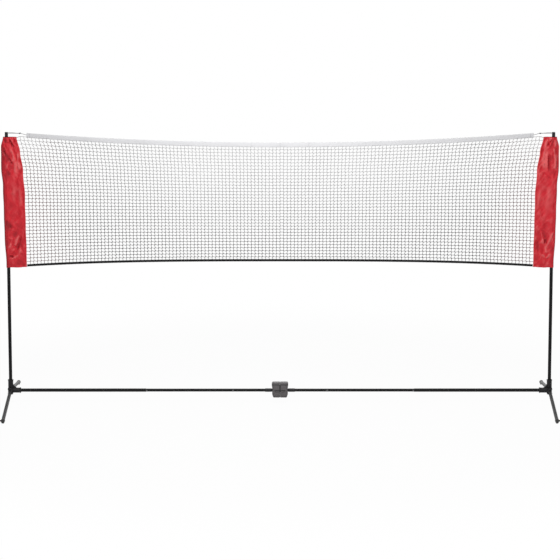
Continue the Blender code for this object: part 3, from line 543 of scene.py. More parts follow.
@once
def mesh_string(colours):
    """Twisted black string with a painted highlight along the middle of its top and up high beside the tape's
    ends, and brown beside the sleeves.
    """
    made = Finish("net_string", colours.string, 0.80, {"Specular IOR Level": 0.25})
    out = made.out()
    up = made.axis("Z")
    # Painted highlight: paler along the middle of the top, less towards the ends, and paler up high beside
    # the tape's ends
    lit_top = made.spread(up, 0.79, 1.37, 0.0, 1.0)
    less_at_ends = made.spread(out, 0.50, 1.45, 0.0, 0.70)
    patches = made.spread(made.noise(3.2, 3.0), 0.3, 0.7, 0.85, 1.10)
    painted_highlight = made.maths("MULTIPLY", made.maths("SUBTRACT", lit_top, less_at_ends), patches)
    tape_high = made.spread(up, 1.40, 1.47, 0.0, 1.0)
    tape_ends = made.spread(out, 1.27, 1.38, 0.0, 0.55)
    painted_highlight = made.maths("ADD", painted_highlight, made.maths("MULTIPLY", tape_high, tape_ends))
    twist = made.wave(0.0011, "DIAGONAL")
    colour = made.over(colours.string, colours.brown, out, 1.14, 1.34)
    colour = made.tint(painted_highlight, colour, colours.string_highlight)
    made.paint(made.over(colour, shades(colours.string, 0.40), twist, 1.0, 0.0, most=0.20))
    made.rough(painted_highlight, 0.0, 1.0, 0.74, 0.88)
    made.bump(twist, 0.00018, 0.7)
    return made


@once
def cord_braid(colours):
    """Braided black cord, its strands worn grey on top."""
    made = Finish("black_cord", colours.cord, 0.72, {})
    mirrored = made.stretched((-1.0, 1.0, 1.0))
    braid = made.maths("MAXIMUM", made.wave(0.0016, "DIAGONAL"), made.wave(0.0016, "DIAGONAL", mirrored))
    made.paint(made.over(shades(colours.cord, 0.6), (0.050, 0.050, 0.053), braid, 0.3, 1.0, most=0.6))
    made.rough(braid, 0.0, 1.0, 0.80, 0.62)
    made.bump(braid, 0.00030, 0.9)
    return made


def twisted_thread(name, colour, plain, low, high, roughness):
    """Thread of a plain shade of a colour, with a darker and a paler shade along its twist."""
    made = Finish(name, shades(colour, plain), roughness, {})
    twist = made.wave(0.0005, "DIAGONAL")
    made.paint(made.tint(twist, shades(colour, low), shades(colour, high)))
    made.bump(twist, 0.00010, 0.6)
    return made


@once
def sewing_thread(colours):
    """Dark red thread of the sleeve's seams."""
    return twisted_thread("red_thread", colours.sleeve, 0.55, 0.30, 0.80, roughness=0.55)


@once
def tape_thread(colours):
    """Grey-white thread of the tape's seam."""
    return twisted_thread("white_thread", colours.tape, 0.62, 0.42, 0.75, roughness=0.60)


@once
def powder_coat(colours):
    """Semi-gloss black powder coat with a fine orange peel, thin scratches and dust."""
    made = Finish("black_powder_coat", colours.steel, 0.34, {"Specular IOR Level": 0.10})
    dust = made.noise(26.0, 5.0)
    scratches = made.noise(1.0, 2.0, made.stretched((8.0, 8.0, 900.0), (0.3, 0.2, 0.0)))
    colour = made.over(colours.steel, (0.030, 0.0295, 0.029), dust, 0.45, 0.85, most=0.20)
    made.paint(made.over(colour, (0.06, 0.06, 0.06), scratches, 0.70, 0.82, most=0.22))
    made.rough(dust, 0.3, 0.8, 0.38, 0.46)
    made.bump(made.noise(950.0, 2.0), 0.00003, 0.35)
    return made


# Where shade is painted darker on the hub, from where it is full to where it ends: out from the middle seam,
# out at the ends, and up at the bottom. A painted dark line along the hub has a height, the half widths where
# it is full and where it ends, and its reach out
HUB_SEAM = (0.0022, 0.0046)
HUB_END = (0.0440, 0.0350)
HUB_BOTTOM = (0.0400, 0.0480)
HUB_LINES = ((0.0782, 0.0024, 0.0044, 0.0300), (0.1115, 0.0020, 0.0040, 0.0480))
HUB_LINE_FADE = 0.003
HUB_EDGE_SHADE = 0.8


@once
def hub_plastic(colours):
    """Warm grey moulded plastic with a fine spark texture and scuffs, and painted shade in its seam, along
    two lines, at its ends and at its bottom.
    """
    grey = colours.hub
    made = Finish("grey_plastic", grey, 0.55, {})
    flow = made.noise(30.0, 4.0)
    scuffs = made.noise(1.0, 3.0, made.stretched((260.0, 40.0, 60.0), (0.0, 0.5, 0.2)))
    out = made.out()
    up = made.axis("Z")
    # Painted shade: darker at the middle seam, along two lines, towards the ends and towards the bottom
    grime_and_shade = made.spread(out, *HUB_SEAM, 1.0, 0.0)
    for height, inner, outer, reach in HUB_LINES:
        apart = made.maths("ABSOLUTE", made.maths("SUBTRACT", up, height))
        along = made.spread(out, reach, reach + HUB_LINE_FADE, 1.0, 0.0)
        line = made.maths("MULTIPLY", made.spread(apart, inner, outer, 1.0, 0.0), along)
        grime_and_shade = made.maths("MAXIMUM", grime_and_shade, line)
    for place, (full, gone) in ((out, HUB_END), (up, HUB_BOTTOM)):
        grime_and_shade = made.maths("MAXIMUM", grime_and_shade, made.spread(place, gone, full, 0.0, HUB_EDGE_SHADE))
    colour = made.over(shades(grey, 0.90), shades(grey, 1.08), flow, 0.3, 0.7)
    colour = made.over(colour, shades(grey, 1.9), scuffs, 0.62, 0.80, most=0.30)
    # The painted shade darkens the colour
    made.paint(made.tint(made.maths("MULTIPLY", grime_and_shade, 0.92), colour, shades(grey, 0.16)))
    made.rough(flow, 0.3, 0.7, 0.50, 0.62)
    made.bump(made.noise(1600.0, 2.0), 0.00006, 0.7)
    return made


@once
def fitting_plastic(colours):
    """Black moulded plastic with a satin grain and rubbed patches."""
    made = Finish("black_plastic", colours.plastic, 0.42, {"Specular IOR Level": 0.18})
    rubbed = made.noise(45.0, 4.0)
    made.paint(made.over(colours.plastic, (0.050, 0.050, 0.051), rubbed, 0.5, 0.8, most=0.35))
    made.rough(rubbed, 0.3, 0.75, 0.36, 0.52)
    made.bump(made.noise(1300.0, 2.0), 0.00005, 0.7)
    return made


@once
def foot_rubber(colours):
    """Smooth rubber, dusty towards the floor."""
    made = Finish("black_rubber", colours.rubber, 0.46, {})
    grain = made.noise(700.0, 3.0)
    low = made.spread(made.axis("Z"), 0.0, 0.014, 0.55, 0.0)
    dust = made.maths("MULTIPLY", made.spread(made.noise(160.0, 4.0), 0.3, 0.7, 0.4, 1.0), low)
    made.paint(made.tint(dust, colours.rubber, (0.10, 0.095, 0.09)))
    made.rough(grain, 0.3, 0.7, 0.40, 0.54)
    made.bump(grain, 0.00008, 0.7)
    return made


@once
def plated_steel(colours):
    """Zinc plated steel with fine brushed lines and a faint stain."""
    made = Finish("bright_steel", colours.bright, 0.30, {"Metallic": 1.0})
    lines = made.noise(1.0, 3.0, made.stretched((90.0, 2500.0, 400.0)))
    stain = made.noise(140.0, 3.0)
    made.paint(made.over(colours.bright, shades(colours.bright, 0.62), stain, 0.4, 0.8, most=0.4))
    made.rough(lines, 0.3, 0.7, 0.22, 0.42)
    made.bump(lines, 0.00002, 0.5)
    return made


# The cord's route from the tape, through its knot, round the cap's neck and back
CAP_NECK_BELOW_TOP = 0.0062
CORD_TURN_RADIUS = 0.0086
CORD_STRAND_GAP = 0.0004
CORD_TIE_OUT = 0.0003
CORD_TIE_DROP = 0.0100
CORD_KNOT_BACK = 0.0745
CORD_KNOT_DROP = 0.0015
CORD_PULL = 0.0220
CORD_TIE_PULL = 0.0110
CORD_FRONT_HUMP = 0.0020
CORD_REAR_HUMP = 0.0045
CORD_TURN_POINTS = 24
CORD_RUN_POINTS = 16
CORD_TIE_POINTS = 8

# The knot's drawing: a trefoil, its width in its own units, and how much its height and depth are scaled
KNOT_STEPS = 48
KNOT_SIDES = 8
TREFOIL_WIDTH = 6.4
TREFOIL_HEIGHT_SHARE = 0.52
TREFOIL_DEPTH_SHARE = 0.9

# The camera's sensor in millimetres, and how far the camera sees
SENSOR_WIDTH = 36.0
SEEN_AS_FAR_AS = 200.0


def bent_run(start, end, leave, arrive, steps):
    """The points after start of a curve to end, drawn towards start + leave and then end + arrive."""
    points = []
    for step in range(1, steps + 1):
        part = step / steps
        near = start * (1 - part) ** 3 + (start + leave) * (3 * part * (1 - part) ** 2)
        far = (end + arrive) * (3 * part * part * (1 - part)) + end * part**3
        points.append(near + far)
    return points


def cord_route(sign, diameter):
    """The cord's points from the tape round the cap's neck and back, and its knot's place."""
    neck = Vector((POST_OUT, 0.0, TOTAL_HEIGHT - CAP_NECK_BELOW_TOP))
    free_angle = math.acos(CORD_TURN_RADIUS / CORD_KNOT_BACK)
    turn = []
    for step in range(CORD_TURN_POINTS + 1):
        angle = free_angle + 2 * (math.pi - free_angle) * step / CORD_TURN_POINTS
        turn.append(neck - Vector((math.cos(angle), math.sin(angle), 0.0)) * CORD_TURN_RADIUS)
    tie = Vector((TAPE_END_OUT + CORD_TIE_OUT, 0.0, TAPE_END_TOP - CORD_TIE_DROP))
    beside = Vector((0.0, (diameter + CORD_STRAND_GAP) / 2, 0.0))
    knot = Vector((POST_OUT - CORD_KNOT_BACK, 0.0, TAPE_END_TOP - CORD_KNOT_DROP))
    outwards = Vector((CORD_PULL, 0.0, 0.0))
    tie_pull = Vector((CORD_TIE_PULL, 0.0, 0.0))
    front_hump = Vector((0.0, 0.0, CORD_FRONT_HUMP))
    rear_hump = Vector((0.0, 0.0, CORD_REAR_HUMP))
    points = [tie]
    points += bent_run(tie, knot - beside, tie_pull, -tie_pull, CORD_TIE_POINTS)
    points += bent_run(knot - beside, turn[0], outwards, front_hump - outwards, CORD_RUN_POINTS)
    points += turn[1:]
    points += bent_run(turn[-1], knot + beside, rear_hump - outwards, outwards, CORD_RUN_POINTS)
    return [Vector((sign * point.x, point.y, point.z)) for point in [*points, knot]]


def round_cord(name, points, diameter, finish):
    """A round cord as a curve through its points."""
    curve = bpy.data.curves.new(name, "CURVE")
    curve.dimensions = "3D"
    curve.bevel_depth = diameter / 2
    curve.bevel_resolution = 4
    curve.use_fill_caps = True
    line = curve.splines.new("POLY")
    line.points.add(len(points) - 1)
    for spot, point in zip(line.points, points):
        spot.co = (*point, 1.0)
    line.use_smooth = True
    curve.materials.append(finish)
    cord = bpy.data.objects.new(name, curve)
    bpy.context.scene.collection.objects.link(cord)
    return cord


class NET_OT_camera(Operator):
    """Place the camera at the photograph's angle"""

    bl_idname = "badminton_net.camera"
    bl_label = "Camera"

    def execute(self, context):
        studio = context.scene.net_studio
        camera = bpy.data.objects.new("camera", bpy.data.cameras.new("camera"))
        context.scene.collection.objects.link(camera)
        camera.data.sensor_width = SENSOR_WIDTH
        camera.data.lens = studio.lens
        camera.data.clip_end = SEEN_AS_FAR_AS
        camera.location = (0.0, -studio.distance, studio.height)
        camera.rotation_euler = (math.pi / 2 - studio.tilt, 0.0, 0.0)
        context.scene.camera = camera
        return {"FINISHED"}


class NET_OT_top_cords(Operator):
    """Tie each end of the tape to its post cap"""

    bl_idname = "badminton_net.top_cords"
    bl_label = "Top cords"

    def execute(self, context):
        sizes = context.scene.net_cords
        for side, sign in SIDES.items():
            *points, middle = cord_route(sign, sizes.diameter)
            cord = round_cord(f"{side}_cap_cord", points, sizes.diameter, cord_braid())
            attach(cord, f"{side}_post")
            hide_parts(f"{side}_top_cord")
            knot = self.knot(side, middle, sizes)
            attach(knot, f"{side}_post")
        return {"FINISHED"}

    def knot(self, side, middle, sizes):
        """The knot that closes the loop, drawn as a short trefoil round both strands."""
        angle = 2 * math.pi * np.arange(KNOT_STEPS) / KNOT_STEPS
        scale = sizes.knot / TREFOIL_WIDTH
        x = (np.sin(angle) + 2 * np.sin(2 * angle)) * scale
        z = (np.cos(angle) - 2 * np.cos(2 * angle)) * scale * TREFOIL_HEIGHT_SHARE
        y = -np.sin(3 * angle) * scale * TREFOIL_DEPTH_SHARE
        line = np.array(middle) + np.stack([x, y, z], 1)
        count = KNOT_STEPS * KNOT_SIDES
        places = round_tube(np.concatenate([line, line[:1]]), sizes.diameter / 2, KNOT_SIDES)[:count]
        faces = ring_faces(KNOT_STEPS + 1, KNOT_SIDES) % count
        return new_piece(f"{side}_cord_knot", places, faces, cord_braid())


# How the mesh sits: the share of the hem that it goes down, how deep it goes into the tape, and how much
# further apart than on average its top rows are. Its crossings settle in a few passes
MESH_IN_HEM = 0.30
MESH_IN_TAPE = 0.0020
ROW_GROWTH = 0.035
CROSSING_PASSES = 6

# How far a knot strays along the net, up it and out of it
MESH_SEED = 11
KNOTS_STRAY = (0.00035, 0.00030, 0.00060)
STRAY_LIMIT = 2

# A knot's slant and how far it strays, in degrees, then how much its length and width stray, and its
# half width and half thickness as shares of its length
KNOT_SEED = 5
KNOT_SLANT = 45
KNOT_SLANT_STRAY = 9
KNOT_LENGTH_STRAY = 0.06
KNOT_WIDTH_STRAY = 0.05
KNOT_HALF_WIDTH = 0.25
KNOT_HALF_THICKNESS = 0.22

# How a row ends in the sleeve's seam, and where the border string leaves the tape and ends
ROW_END_RISE = 0.0010
BORDER_START = 0.030
BORDER_DROP = 0.004


def crossings(sizes):
    """Where the strings cross: an array by column from left to right and by row from the hem up."""
    count = sizes.columns
    column = np.arange(-count, count + 1)[:, None] / count
    row = np.arange(sizes.rows + 2)[None, :] / (sizes.rows + 1)
    x = column * (TAPE_END_OUT - sizes.selvage) * np.ones_like(row)
    for _ in range(CROSSING_PASSES):
        low = hem_middle(x) + HEM_HEIGHT * MESH_IN_HEM
        high = tape_top(x) - TAPE_HEIGHT + MESH_IN_TAPE
        z = low + (high - low) * row * (1 - ROW_GROWTH + ROW_GROWTH * row)
        x = column * (net_end(z) - sizes.selvage)
    stray = np.random.default_rng(MESH_SEED).normal(size=(3, *x.shape))
    along, up, out = np.clip(stray, -STRAY_LIMIT, STRAY_LIMIT) * np.reshape(KNOTS_STRAY, (3, 1, 1))
    free = (row > 0) * (row < 1)
    return np.stack([x + along * (column != 0), out * free, z + up * free], 2)


def bead():
    """A round knot of unit size: a cube's faces, each in four squares, pushed out to a sphere."""
    places = {}
    faces = []
    for axis in range(3):
        for end in (-1, 1):
            for i, j in ((0, 0), (0, 1), (1, 0), (1, 1)):
                square = []
                for a, b in ((i, j), (i + 1, j), (i + 1, j + 1), (i, j + 1)):
                    spot = [0, 0, 0]
                    spot[axis] = end
                    spot[(axis + 1) % 3] = a - 1
                    spot[(axis + 2) % 3] = b - 1
                    square.append(places.setdefault(tuple(spot), len(places)))
                faces.append(square[::end])
    return unit(np.array(list(places), float)), np.array(faces)


class NET_OT_mesh(Operator):
    """Knot the string mesh between the tape, the hem and the sleeves"""

    bl_idname = "badminton_net.mesh"
    bl_label = "String mesh"

    def execute(self, context):
        sizes = context.scene.net_mesh
        grid = crossings(sizes)
        shapes = {}
        for line in self.rows(grid, sizes) + self.columns(grid, sizes):
            for zone, runs in cut_line(line).items():
                for run in runs:
                    shapes.setdefault(zone, Shape()).add(*square_string(run, sizes.string / 2))
        self.add_knots(grid, shapes, sizes)
        for (side, stretch), shape in shapes.items():
            piece = shape.piece(f"{side}_mesh_{stretch}", mesh_string(), "net_string")
            follow_bodies(piece, side, stretch)
            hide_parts(f"{side}_net")
        return {"FINISHED"}

    def through_knots(self, spots, lean, across):
        """A string's line, which follows every knot along its slant, up and towards the net's middle."""
        line = []
        for spot in spots:
            inward = -1 if spot[0] > 0 else 1
            reach = np.array((inward * lean, 0.0, lean))
            ends = [spot - reach, spot + reach]
            line += ends[::inward] if across else ends
        return np.array(line)

    def columns(self, grid, sizes):
        """Each string that runs up from the hem to the tape."""
        lines = []
        for spots in grid:
            knotted = self.through_knots(spots[1:-1], sizes.lean, False)
            lines.append(np.concatenate([spots[:1], knotted, spots[-1:]]))
        return lines

    def rows(self, grid, sizes):
        """Each string that runs across, with its ends taken into the sleeves' seams."""
        lines = []
        for number in range(1, grid.shape[1] - 1):
            line = self.through_knots(grid[:, number], sizes.lean, True)
            ends = []
            for spot, sign in ((line[0], -1), (line[-1], 1)):
                ends.append(np.array((sign * (net_end(spot[2]) + SEAM_GAP), 0.0, spot[2] + ROW_END_RISE)))
            lines.append(np.concatenate([[ends[0]], line, [ends[1]]]))
        for sign in (-1, 1):
            top = [spot for spot in grid[:, -1] if sign * spot[0] > TAPE_END_OUT - BORDER_START]
            top = sorted(top, key=lambda spot: sign * spot[0])
            top.append(np.array((sign * (net_end(SLEEVE_TOP) + SEAM_GAP), 0.0, SLEEVE_TOP - BORDER_DROP)))
            lines.append(np.array(top))
        return lines

    def add_knots(self, grid, shapes, sizes):
        """A slanting knot at every crossing."""
        places, faces = bead()
        random = np.random.default_rng(KNOT_SEED)
        for column in range(grid.shape[0]):
            for row in range(1, grid.shape[1] - 1):
                spot = grid[column, row]
                slant = KNOT_SLANT if spot[0] > 0 else -KNOT_SLANT
                turn = Euler((0.0, math.radians(slant + random.normal() * KNOT_SLANT_STRAY), 0.0)).to_matrix()
                long = sizes.knot / 2 * (1 + KNOT_LENGTH_STRAY * random.normal())
                wide = sizes.knot * KNOT_HALF_WIDTH * (1 + KNOT_WIDTH_STRAY * random.normal())
                local = places * (long, sizes.knot * KNOT_HALF_THICKNESS, wide)
                shapes[zone_of(spot[0])].add(local @ np.array(turn).T + spot, faces)


# The stretches of a band, from the net's middle out, the last one up to the band's own end
STRETCHES = (("middle", 0.0, MIDDLE_REACH), ("main", MIDDLE_REACH, END_START), ("end", END_START, None))
BAND_STEP = 0.0042
BAND_LEAST_STEPS = 8

# A band's section from an edge up to its fold: shares of the height down and of the half thickness out
BAND_PROFILE = ((1.0, 0.62), (0.86, 0.60), (0.60, 0.86), (0.32, 1.0))
BAND_ARC_STEPS = 6

# How far each string pulls a band out and up, and how far the band swells in and out in slow waves, each with
# its rate in radians to the metre, its start and its share
STRING_PULL_PITCH = 0.0208
STRING_PULL_OUT = 0.00022
STRING_PULL_UP = 0.00025
SWELL = 0.00035
SWELL_WAVES = ((23.0, 1.3, 1.0), (57.0, 0.4, 0.6))

# A row of stitches: where it lies as a share of the thickness, how it stands off and how thick its thread is
STITCHES_OUT = 0.31
STITCH_RISE = 0.00035
STITCH_RADIUS = 0.00032

# What tells the bands apart: which way the fold faces, how far the seam lies in from the edges, what the cut
# has beyond twice the height, and the node, slot and finishes
BANDS = {
    "tape": {"upside": 1, "seam_in": 0.0036, "turned_in": 0.002, "node": "top_tape",
             "slot": "white_webbing", "webbing": tape_webbing, "thread": tape_thread},
    "hem": {"upside": -1, "seam_in": 0.0022, "turned_in": 0.001, "node": "bottom_hem",
            "slot": "black_webbing", "webbing": hem_webbing, "thread": hem_webbing},
}


def band_section(height, thickness, cloth):
    """A folded band seen end on: its outer and its inner line, from the front edge to the back."""
    downs, outs = np.array(BAND_PROFILE).T
    half = thickness / 2
    front = np.stack([-outs * half, -downs * height], 1)
    angle = np.linspace(0, math.pi, BAND_ARC_STEPS + 1)
    over = np.stack([-half * np.cos(angle), -half + half * np.sin(angle)], 1)
    outer = np.concatenate([front, over, front[::-1] * (-1, 1)])
    run = unit(np.gradient(outer, axis=0))
    return outer, outer + cloth * np.stack([run[:, 1], -run[:, 0]], 1)


def rippled(places):
    """A band's rings with the small pulls that the strings and stitches leave in the cloth."""
    x, _, z = np.moveaxis(places, 2, 0)
    depth = (z.max(axis=1, keepdims=True) - z) / TAPE_HEIGHT
    pull = depth * np.sin(2 * math.pi * x / STRING_PULL_PITCH)
    swell = np.minimum(depth, 1) * sum(share * np.sin(x * rate + start) for rate, start, share in SWELL_WAVES)
    return places + np.stack([0 * x, SWELL * swell + STRING_PULL_OUT * pull, STRING_PULL_UP * pull], 2)


def swept_band(outs, folds, section, sign, upside):
    """A closed folded band along the net, from its section at each distance out."""
    outer, inner = section
    loop = np.concatenate([outer, inner[::-1]])
    count = len(loop)
    places = np.empty((len(outs), count, 3))
    places[:, :, 0] = sign * outs[:, None]
    places[:, :, 1] = loop[:, 0]
    places[:, :, 2] = folds[:, None] + upside * loop[:, 1]
    caps = []
    for start in (0, (len(outs) - 1) * count):
        for step in range(count // 2 - 1):
            square = (step, step + 1, count - 2 - step, count - 1 - step)
            caps.append(square[::-1] if start == 0 else [start + corner for corner in square])
    faces = np.concatenate([ring_faces(len(outs), count), np.array(caps)])
    places = rippled(places).reshape(-1, 3)
    return places, turned_out(places, faces)


class NET_OT_bands(Operator):
    """Fold the white tape and the black hem over the mesh's edges"""

    bl_idname = "badminton_net.bands"
    bl_label = "Tape and hem"

    def execute(self, context):
        sizes = context.scene.net_bands
        hem_end = float(net_end(HEM_BOX[0].z))
        for side in SIDES:
            for stretch, start, end in STRETCHES:
                outs = self.places_out(start, end or TAPE_END_OUT)
                self.band(side, stretch, "tape", outs, tape_top(outs), sizes)
                outs = self.places_out(start, end or hem_end)
                self.band(side, stretch, "hem", outs, hem_middle(outs) - sizes.hem_height / 2, sizes)
        return {"FINISHED"}

    def places_out(self, start, end):
        """Distances from the net's middle at which a band has a ring of points."""
        steps = max(int((end - start) / BAND_STEP), BAND_LEAST_STEPS)
        return np.linspace(start, end, steps + 1)

    def band(self, side, stretch, name, outs, folds, sizes):
        """One stretch of the tape or the hem, with its stitches."""
        kind = BANDS[name]
        height = getattr(sizes, f"{name}_height")
        thickness = getattr(sizes, f"{name}_thickness")
        section = band_section(height, thickness, sizes.cloth)
        places, faces = swept_band(outs, folds, section, SIDES[side], kind["upside"])
        piece = new_piece(f"{side}_{name}_{stretch}", places, faces, kind["webbing"]())
        heights = folds - kind["upside"] * (height - kind["seam_in"])
        shape = self.stitches(outs, heights, SIDES[side], thickness * STITCHES_OUT, sizes)
        seam = shape.piece(f"{side}_{name}_seam_{stretch}", kind["thread"](), kind["slot"])
        follow_bodies(piece, side, stretch)
        follow_bodies(seam, side, stretch)
        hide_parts(f"{side}_{kind['node']}")

    def stitches(self, outs, heights, sign, half, sizes):
        """A row of stitches on the front and on the back of a band."""
        shape = Shape()
        reach = sizes.stitch / 2
        for number in range(max(int((outs[-1] - outs[0]) / sizes.stitch_pitch), 1)):
            out = outs[0] + sizes.stitch_pitch * (number + 0.5)
            first, last = np.interp([out - reach, out + reach], outs, heights)
            for facing in (-1, 1):
                line = [(sign * (out - reach), facing * half, first),
                        (sign * out, facing * (half + STITCH_RISE), (first + last) / 2),
                        (sign * (out + reach), facing * half, last)]
                shape.add(*square_string(line, STITCH_RADIUS))
        return shape


# Pulled creases of a sleeve, each from and to (distance from the post's axis, share of the length),
# with its width and its weight, which is negative for a valley
LEFT_CREASES = (
    ((-0.004, 0.004), (-0.003, 0.050), 0.0050, -0.90),
    ((0.007, 0.000), (0.010, 0.045), 0.0040, 0.80),
    ((0.015, 0.010), (0.038, 0.088), 0.0045, -1.10),
    ((0.024, 0.004), (0.034, 0.060), 0.0040, 0.60),
    ((0.040, 0.010), (0.046, 0.060), 0.0040, -0.50),
    ((-0.026, 0.105), (0.016, 0.160), 0.0055, -1.10),
    ((0.010, 0.150), (0.028, 0.215), 0.0050, -0.90),
    ((-0.024, 0.060), (0.004, 0.105), 0.0050, 0.60),
    ((0.026, 0.085), (0.044, 0.190), 0.0050, 1.00),
    ((0.044, 0.180), (0.049, 0.285), 0.0055, 0.90),
    ((0.060, 0.105), (0.066, 0.270), 0.0070, 0.80),
    ((0.054, 0.100), (0.057, 0.200), 0.0035, -0.50),
    ((-0.012, 0.240), (0.022, 0.300), 0.0080, -0.80),
    ((0.002, 0.200), (0.010, 0.260), 0.0060, 0.40),
    ((0.030, 0.330), (0.040, 0.520), 0.0090, 0.35),
    ((0.070, 0.360), (0.076, 0.560), 0.0060, 0.45),
    ((0.010, 0.430), (0.018, 0.600), 0.0090, -0.25),
    ((-0.014, 0.630), (0.024, 0.710), 0.0090, -0.90),
    ((0.070, 0.728), (0.020, 0.894), 0.0055, 1.10),
    ((0.076, 0.760), (0.040, 0.880), 0.0050, -0.60),
    ((-0.006, 0.852), (0.022, 0.812), 0.0045, 0.80),
    ((0.006, 0.938), (0.060, 0.905), 0.0045, 0.90),
    ((0.008, 0.905), (0.028, 0.926), 0.0045, -1.00),
    ((0.036, 0.826), (0.034, 0.862), 0.0045, -0.90),
    ((0.060, 0.840), (0.078, 0.900), 0.0060, 0.50),
    ((-0.006, 0.760), (0.030, 0.790), 0.0070, 0.50),
)
RIGHT_CREASES = (
    ((0.010, 0.010), (0.031, 0.080), 0.0042, -1.10),
    ((0.005, 0.012), (0.007, 0.075), 0.0040, -0.90),
    ((0.018, 0.004), (0.018, 0.070), 0.0045, 0.80),
    ((-0.004, 0.010), (-0.014, 0.080), 0.0045, 0.70),
    ((0.032, 0.010), (0.046, 0.080), 0.0050, 0.60),
    ((0.048, 0.095), (0.054, 0.255), 0.0065, 1.00),
    ((0.023, 0.110), (0.020, 0.285), 0.0050, -1.00),
    ((0.034, 0.095), (0.037, 0.270), 0.0055, 0.80),
    ((-0.011, 0.120), (-0.011, 0.270), 0.0060, 0.90),
    ((0.001, 0.075), (-0.008, 0.170), 0.0040, 0.80),
    ((0.003, 0.100), (0.000, 0.175), 0.0040, -0.80),
    ((0.062, 0.060), (0.070, 0.200), 0.0050, -0.50),
    ((0.060, 0.270), (0.010, 0.330), 0.0080, -0.50),
    ((0.072, 0.380), (0.078, 0.560), 0.0060, 0.45),
    ((0.020, 0.360), (0.028, 0.560), 0.0090, 0.30),
    ((0.068, 0.690), (0.034, 0.800), 0.0100, -0.70),
    ((0.068, 0.700), (0.042, 0.835), 0.0050, 1.10),
    ((-0.008, 0.715), (0.028, 0.835), 0.0050, 1.10),
    ((0.036, 0.780), (0.037, 0.822), 0.0050, -1.20),
    ((0.034, 0.830), (0.034, 0.895), 0.0045, 0.90),
    ((0.056, 0.895), (0.034, 0.930), 0.0040, 0.90),
    ((0.034, 0.930), (0.008, 0.893), 0.0040, 0.90),
    ((0.080, 0.780), (0.070, 0.900), 0.0060, -0.40),
    ((0.004, 0.820), (-0.004, 0.920), 0.0060, -0.50),
)
SLEEVE_CREASES = {"left": LEFT_CREASES, "right": RIGHT_CREASES}

# A crease fades at its ends, has a valley beside it, wanders a little, and gets a wider stripe of painted
# sheen, or of painted shade where it is a valley
CREASE_FADE = 0.30
CREASE_VALLEY = 0.35
CREASE_VALLEY_ASIDE = 1.8
CREASE_WANDER = 0.002
CREASE_WANDER_TURN = 5.0
CREASE_WANDER_APART = 90
CREASE_PAINTED_LIGHT_WIDTH = 1.4

# The waves that make the wrinkles: their pitches and heights, how many there are of each, how far they turn,
# how much they are bent by those before them and what each adds to that, then how high a crest stands, how
# steeply it falls and how round it is
WRINKLE_SEEDS = {"left": 3, "right": 8}
WRINKLE_WAVES = ((0.120, 0.50), (0.066, 0.26), (0.036, 0.12), (0.020, 0.05))
WRINKLES_EACH = 3
WRINKLE_TURN = 1.15
WRINKLE_BEND = 1.1
WRINKLE_BEND_EACH = 0.4
WRINKLE_TOP = 0.9
WRINKLE_FALL = 1.6
WRINKLE_ROUNDING = 0.015

# The cloth: the size that it was cut to, its thickness, and its two layers beside the post and over it
SLEEVE_FABRIC = 0.0007
SLEEVE_EDGE_HALF = 0.0030
SLEEVE_EDGE_POWER = 6
SLEEVE_POST_HALF = POST_RADIUS + 0.0022
SLEEVE_BULGE_WIDTH = 0.0300
SLEEVE_LEAST_HALF = 0.0009
POST_GAP = 0.0014
POST_GAP_REACH = 0.003

# Its slack folds, where it hangs loose beside the post, and how far its own wrinkles differ front and back
FOLD_START = 0.050
FOLD_HOLD_POWER = 4
FOLDS_DOWN = 3.5
FOLD_PITCH = 0.140
LOOSE_START = POST_RADIUS * 0.6
LOOSE_FULL = 0.012
OWN_WRINKLES = 0.4
OWN_WRINKLES_APART = 0.5

# The pulls and dips that its seams and stitches leave, with uneven ones in waves of a rate in radians
SEAM_HOLD = 0.014
PLEAT_PITCH = 0.0105
PLEAT_REACH = 0.030
PLEAT_DEPTH = 0.0011
PLEAT_RISE = 0.0008
PLEAT_RISE_START = 0.01
PLEAT_UNEVEN = 1.7
PLEAT_UNEVEN_RATE = 90
LOW_PULL_PITCH = 0.014
LOW_PULL_REACH = 0.020
LOW_PULL_DEPTH = 0.0005
LOW_SAG = 0.00096
LOW_SAG_RATE = 70
LOW_SAG_PHASE = 0.8
LOW_SAG_LEAN = 0.098
FLUTTER = 0.0006
FLUTTER_RATE = 31
FLUTTER_PHASE = 1.0
FLUTTER_EDGE_POWER = 6
STITCH_DIP_WIDTH = 0.0016
HEM_DIP = 0.0007
SEAM_DIP = 0.0006
SEAM_IN = 0.008

# How much painted sheen the cloth has, how much more beside the net at the top, and how much painted shade
# where it turns round the post. Then how much painted light and shade its wrinkles get, how much less they
# get halfway down, and how much its pleats get
SLEEVE_SHEEN = {"left": 0.10, "right": 0.25}
TOP_SHEEN = 0.20
TOP_SHEEN_ACROSS = 0.060
TOP_SHEEN_END = 0.36
TURN_SHADE = {"left": 1.10, "right": 0.25}
TURN_SHADE_WIDTH = 0.0110
TURN_SHADE_START = 0.12
WRINKLE_PAINTED_LIGHT = 0.50
WRINKLE_PAINTED_LIGHT_LOST = 0.28
CALM_START = 0.26
CALM_END = 0.70
SHARE_FADE = 0.08
PLEAT_PAINTED_LIGHT = 0.40
EDGE_PAINTED_LIGHT_LOST = 0.008

# The rows of stitches, with their start, end, pitch and stitch length: across a hem, and down the seam
HEM_ROW = (-0.010, 0.092, 0.0042, 0.0028)
HEM_ROW_MARGINS = (0.003, 0.006)
SEAM_ROW = (0.018, SLEEVE_LENGTH - 0.018, 0.0044, 0.0030)
THREAD_RADIUS = 0.00030
THREAD_RISE = 0.00035


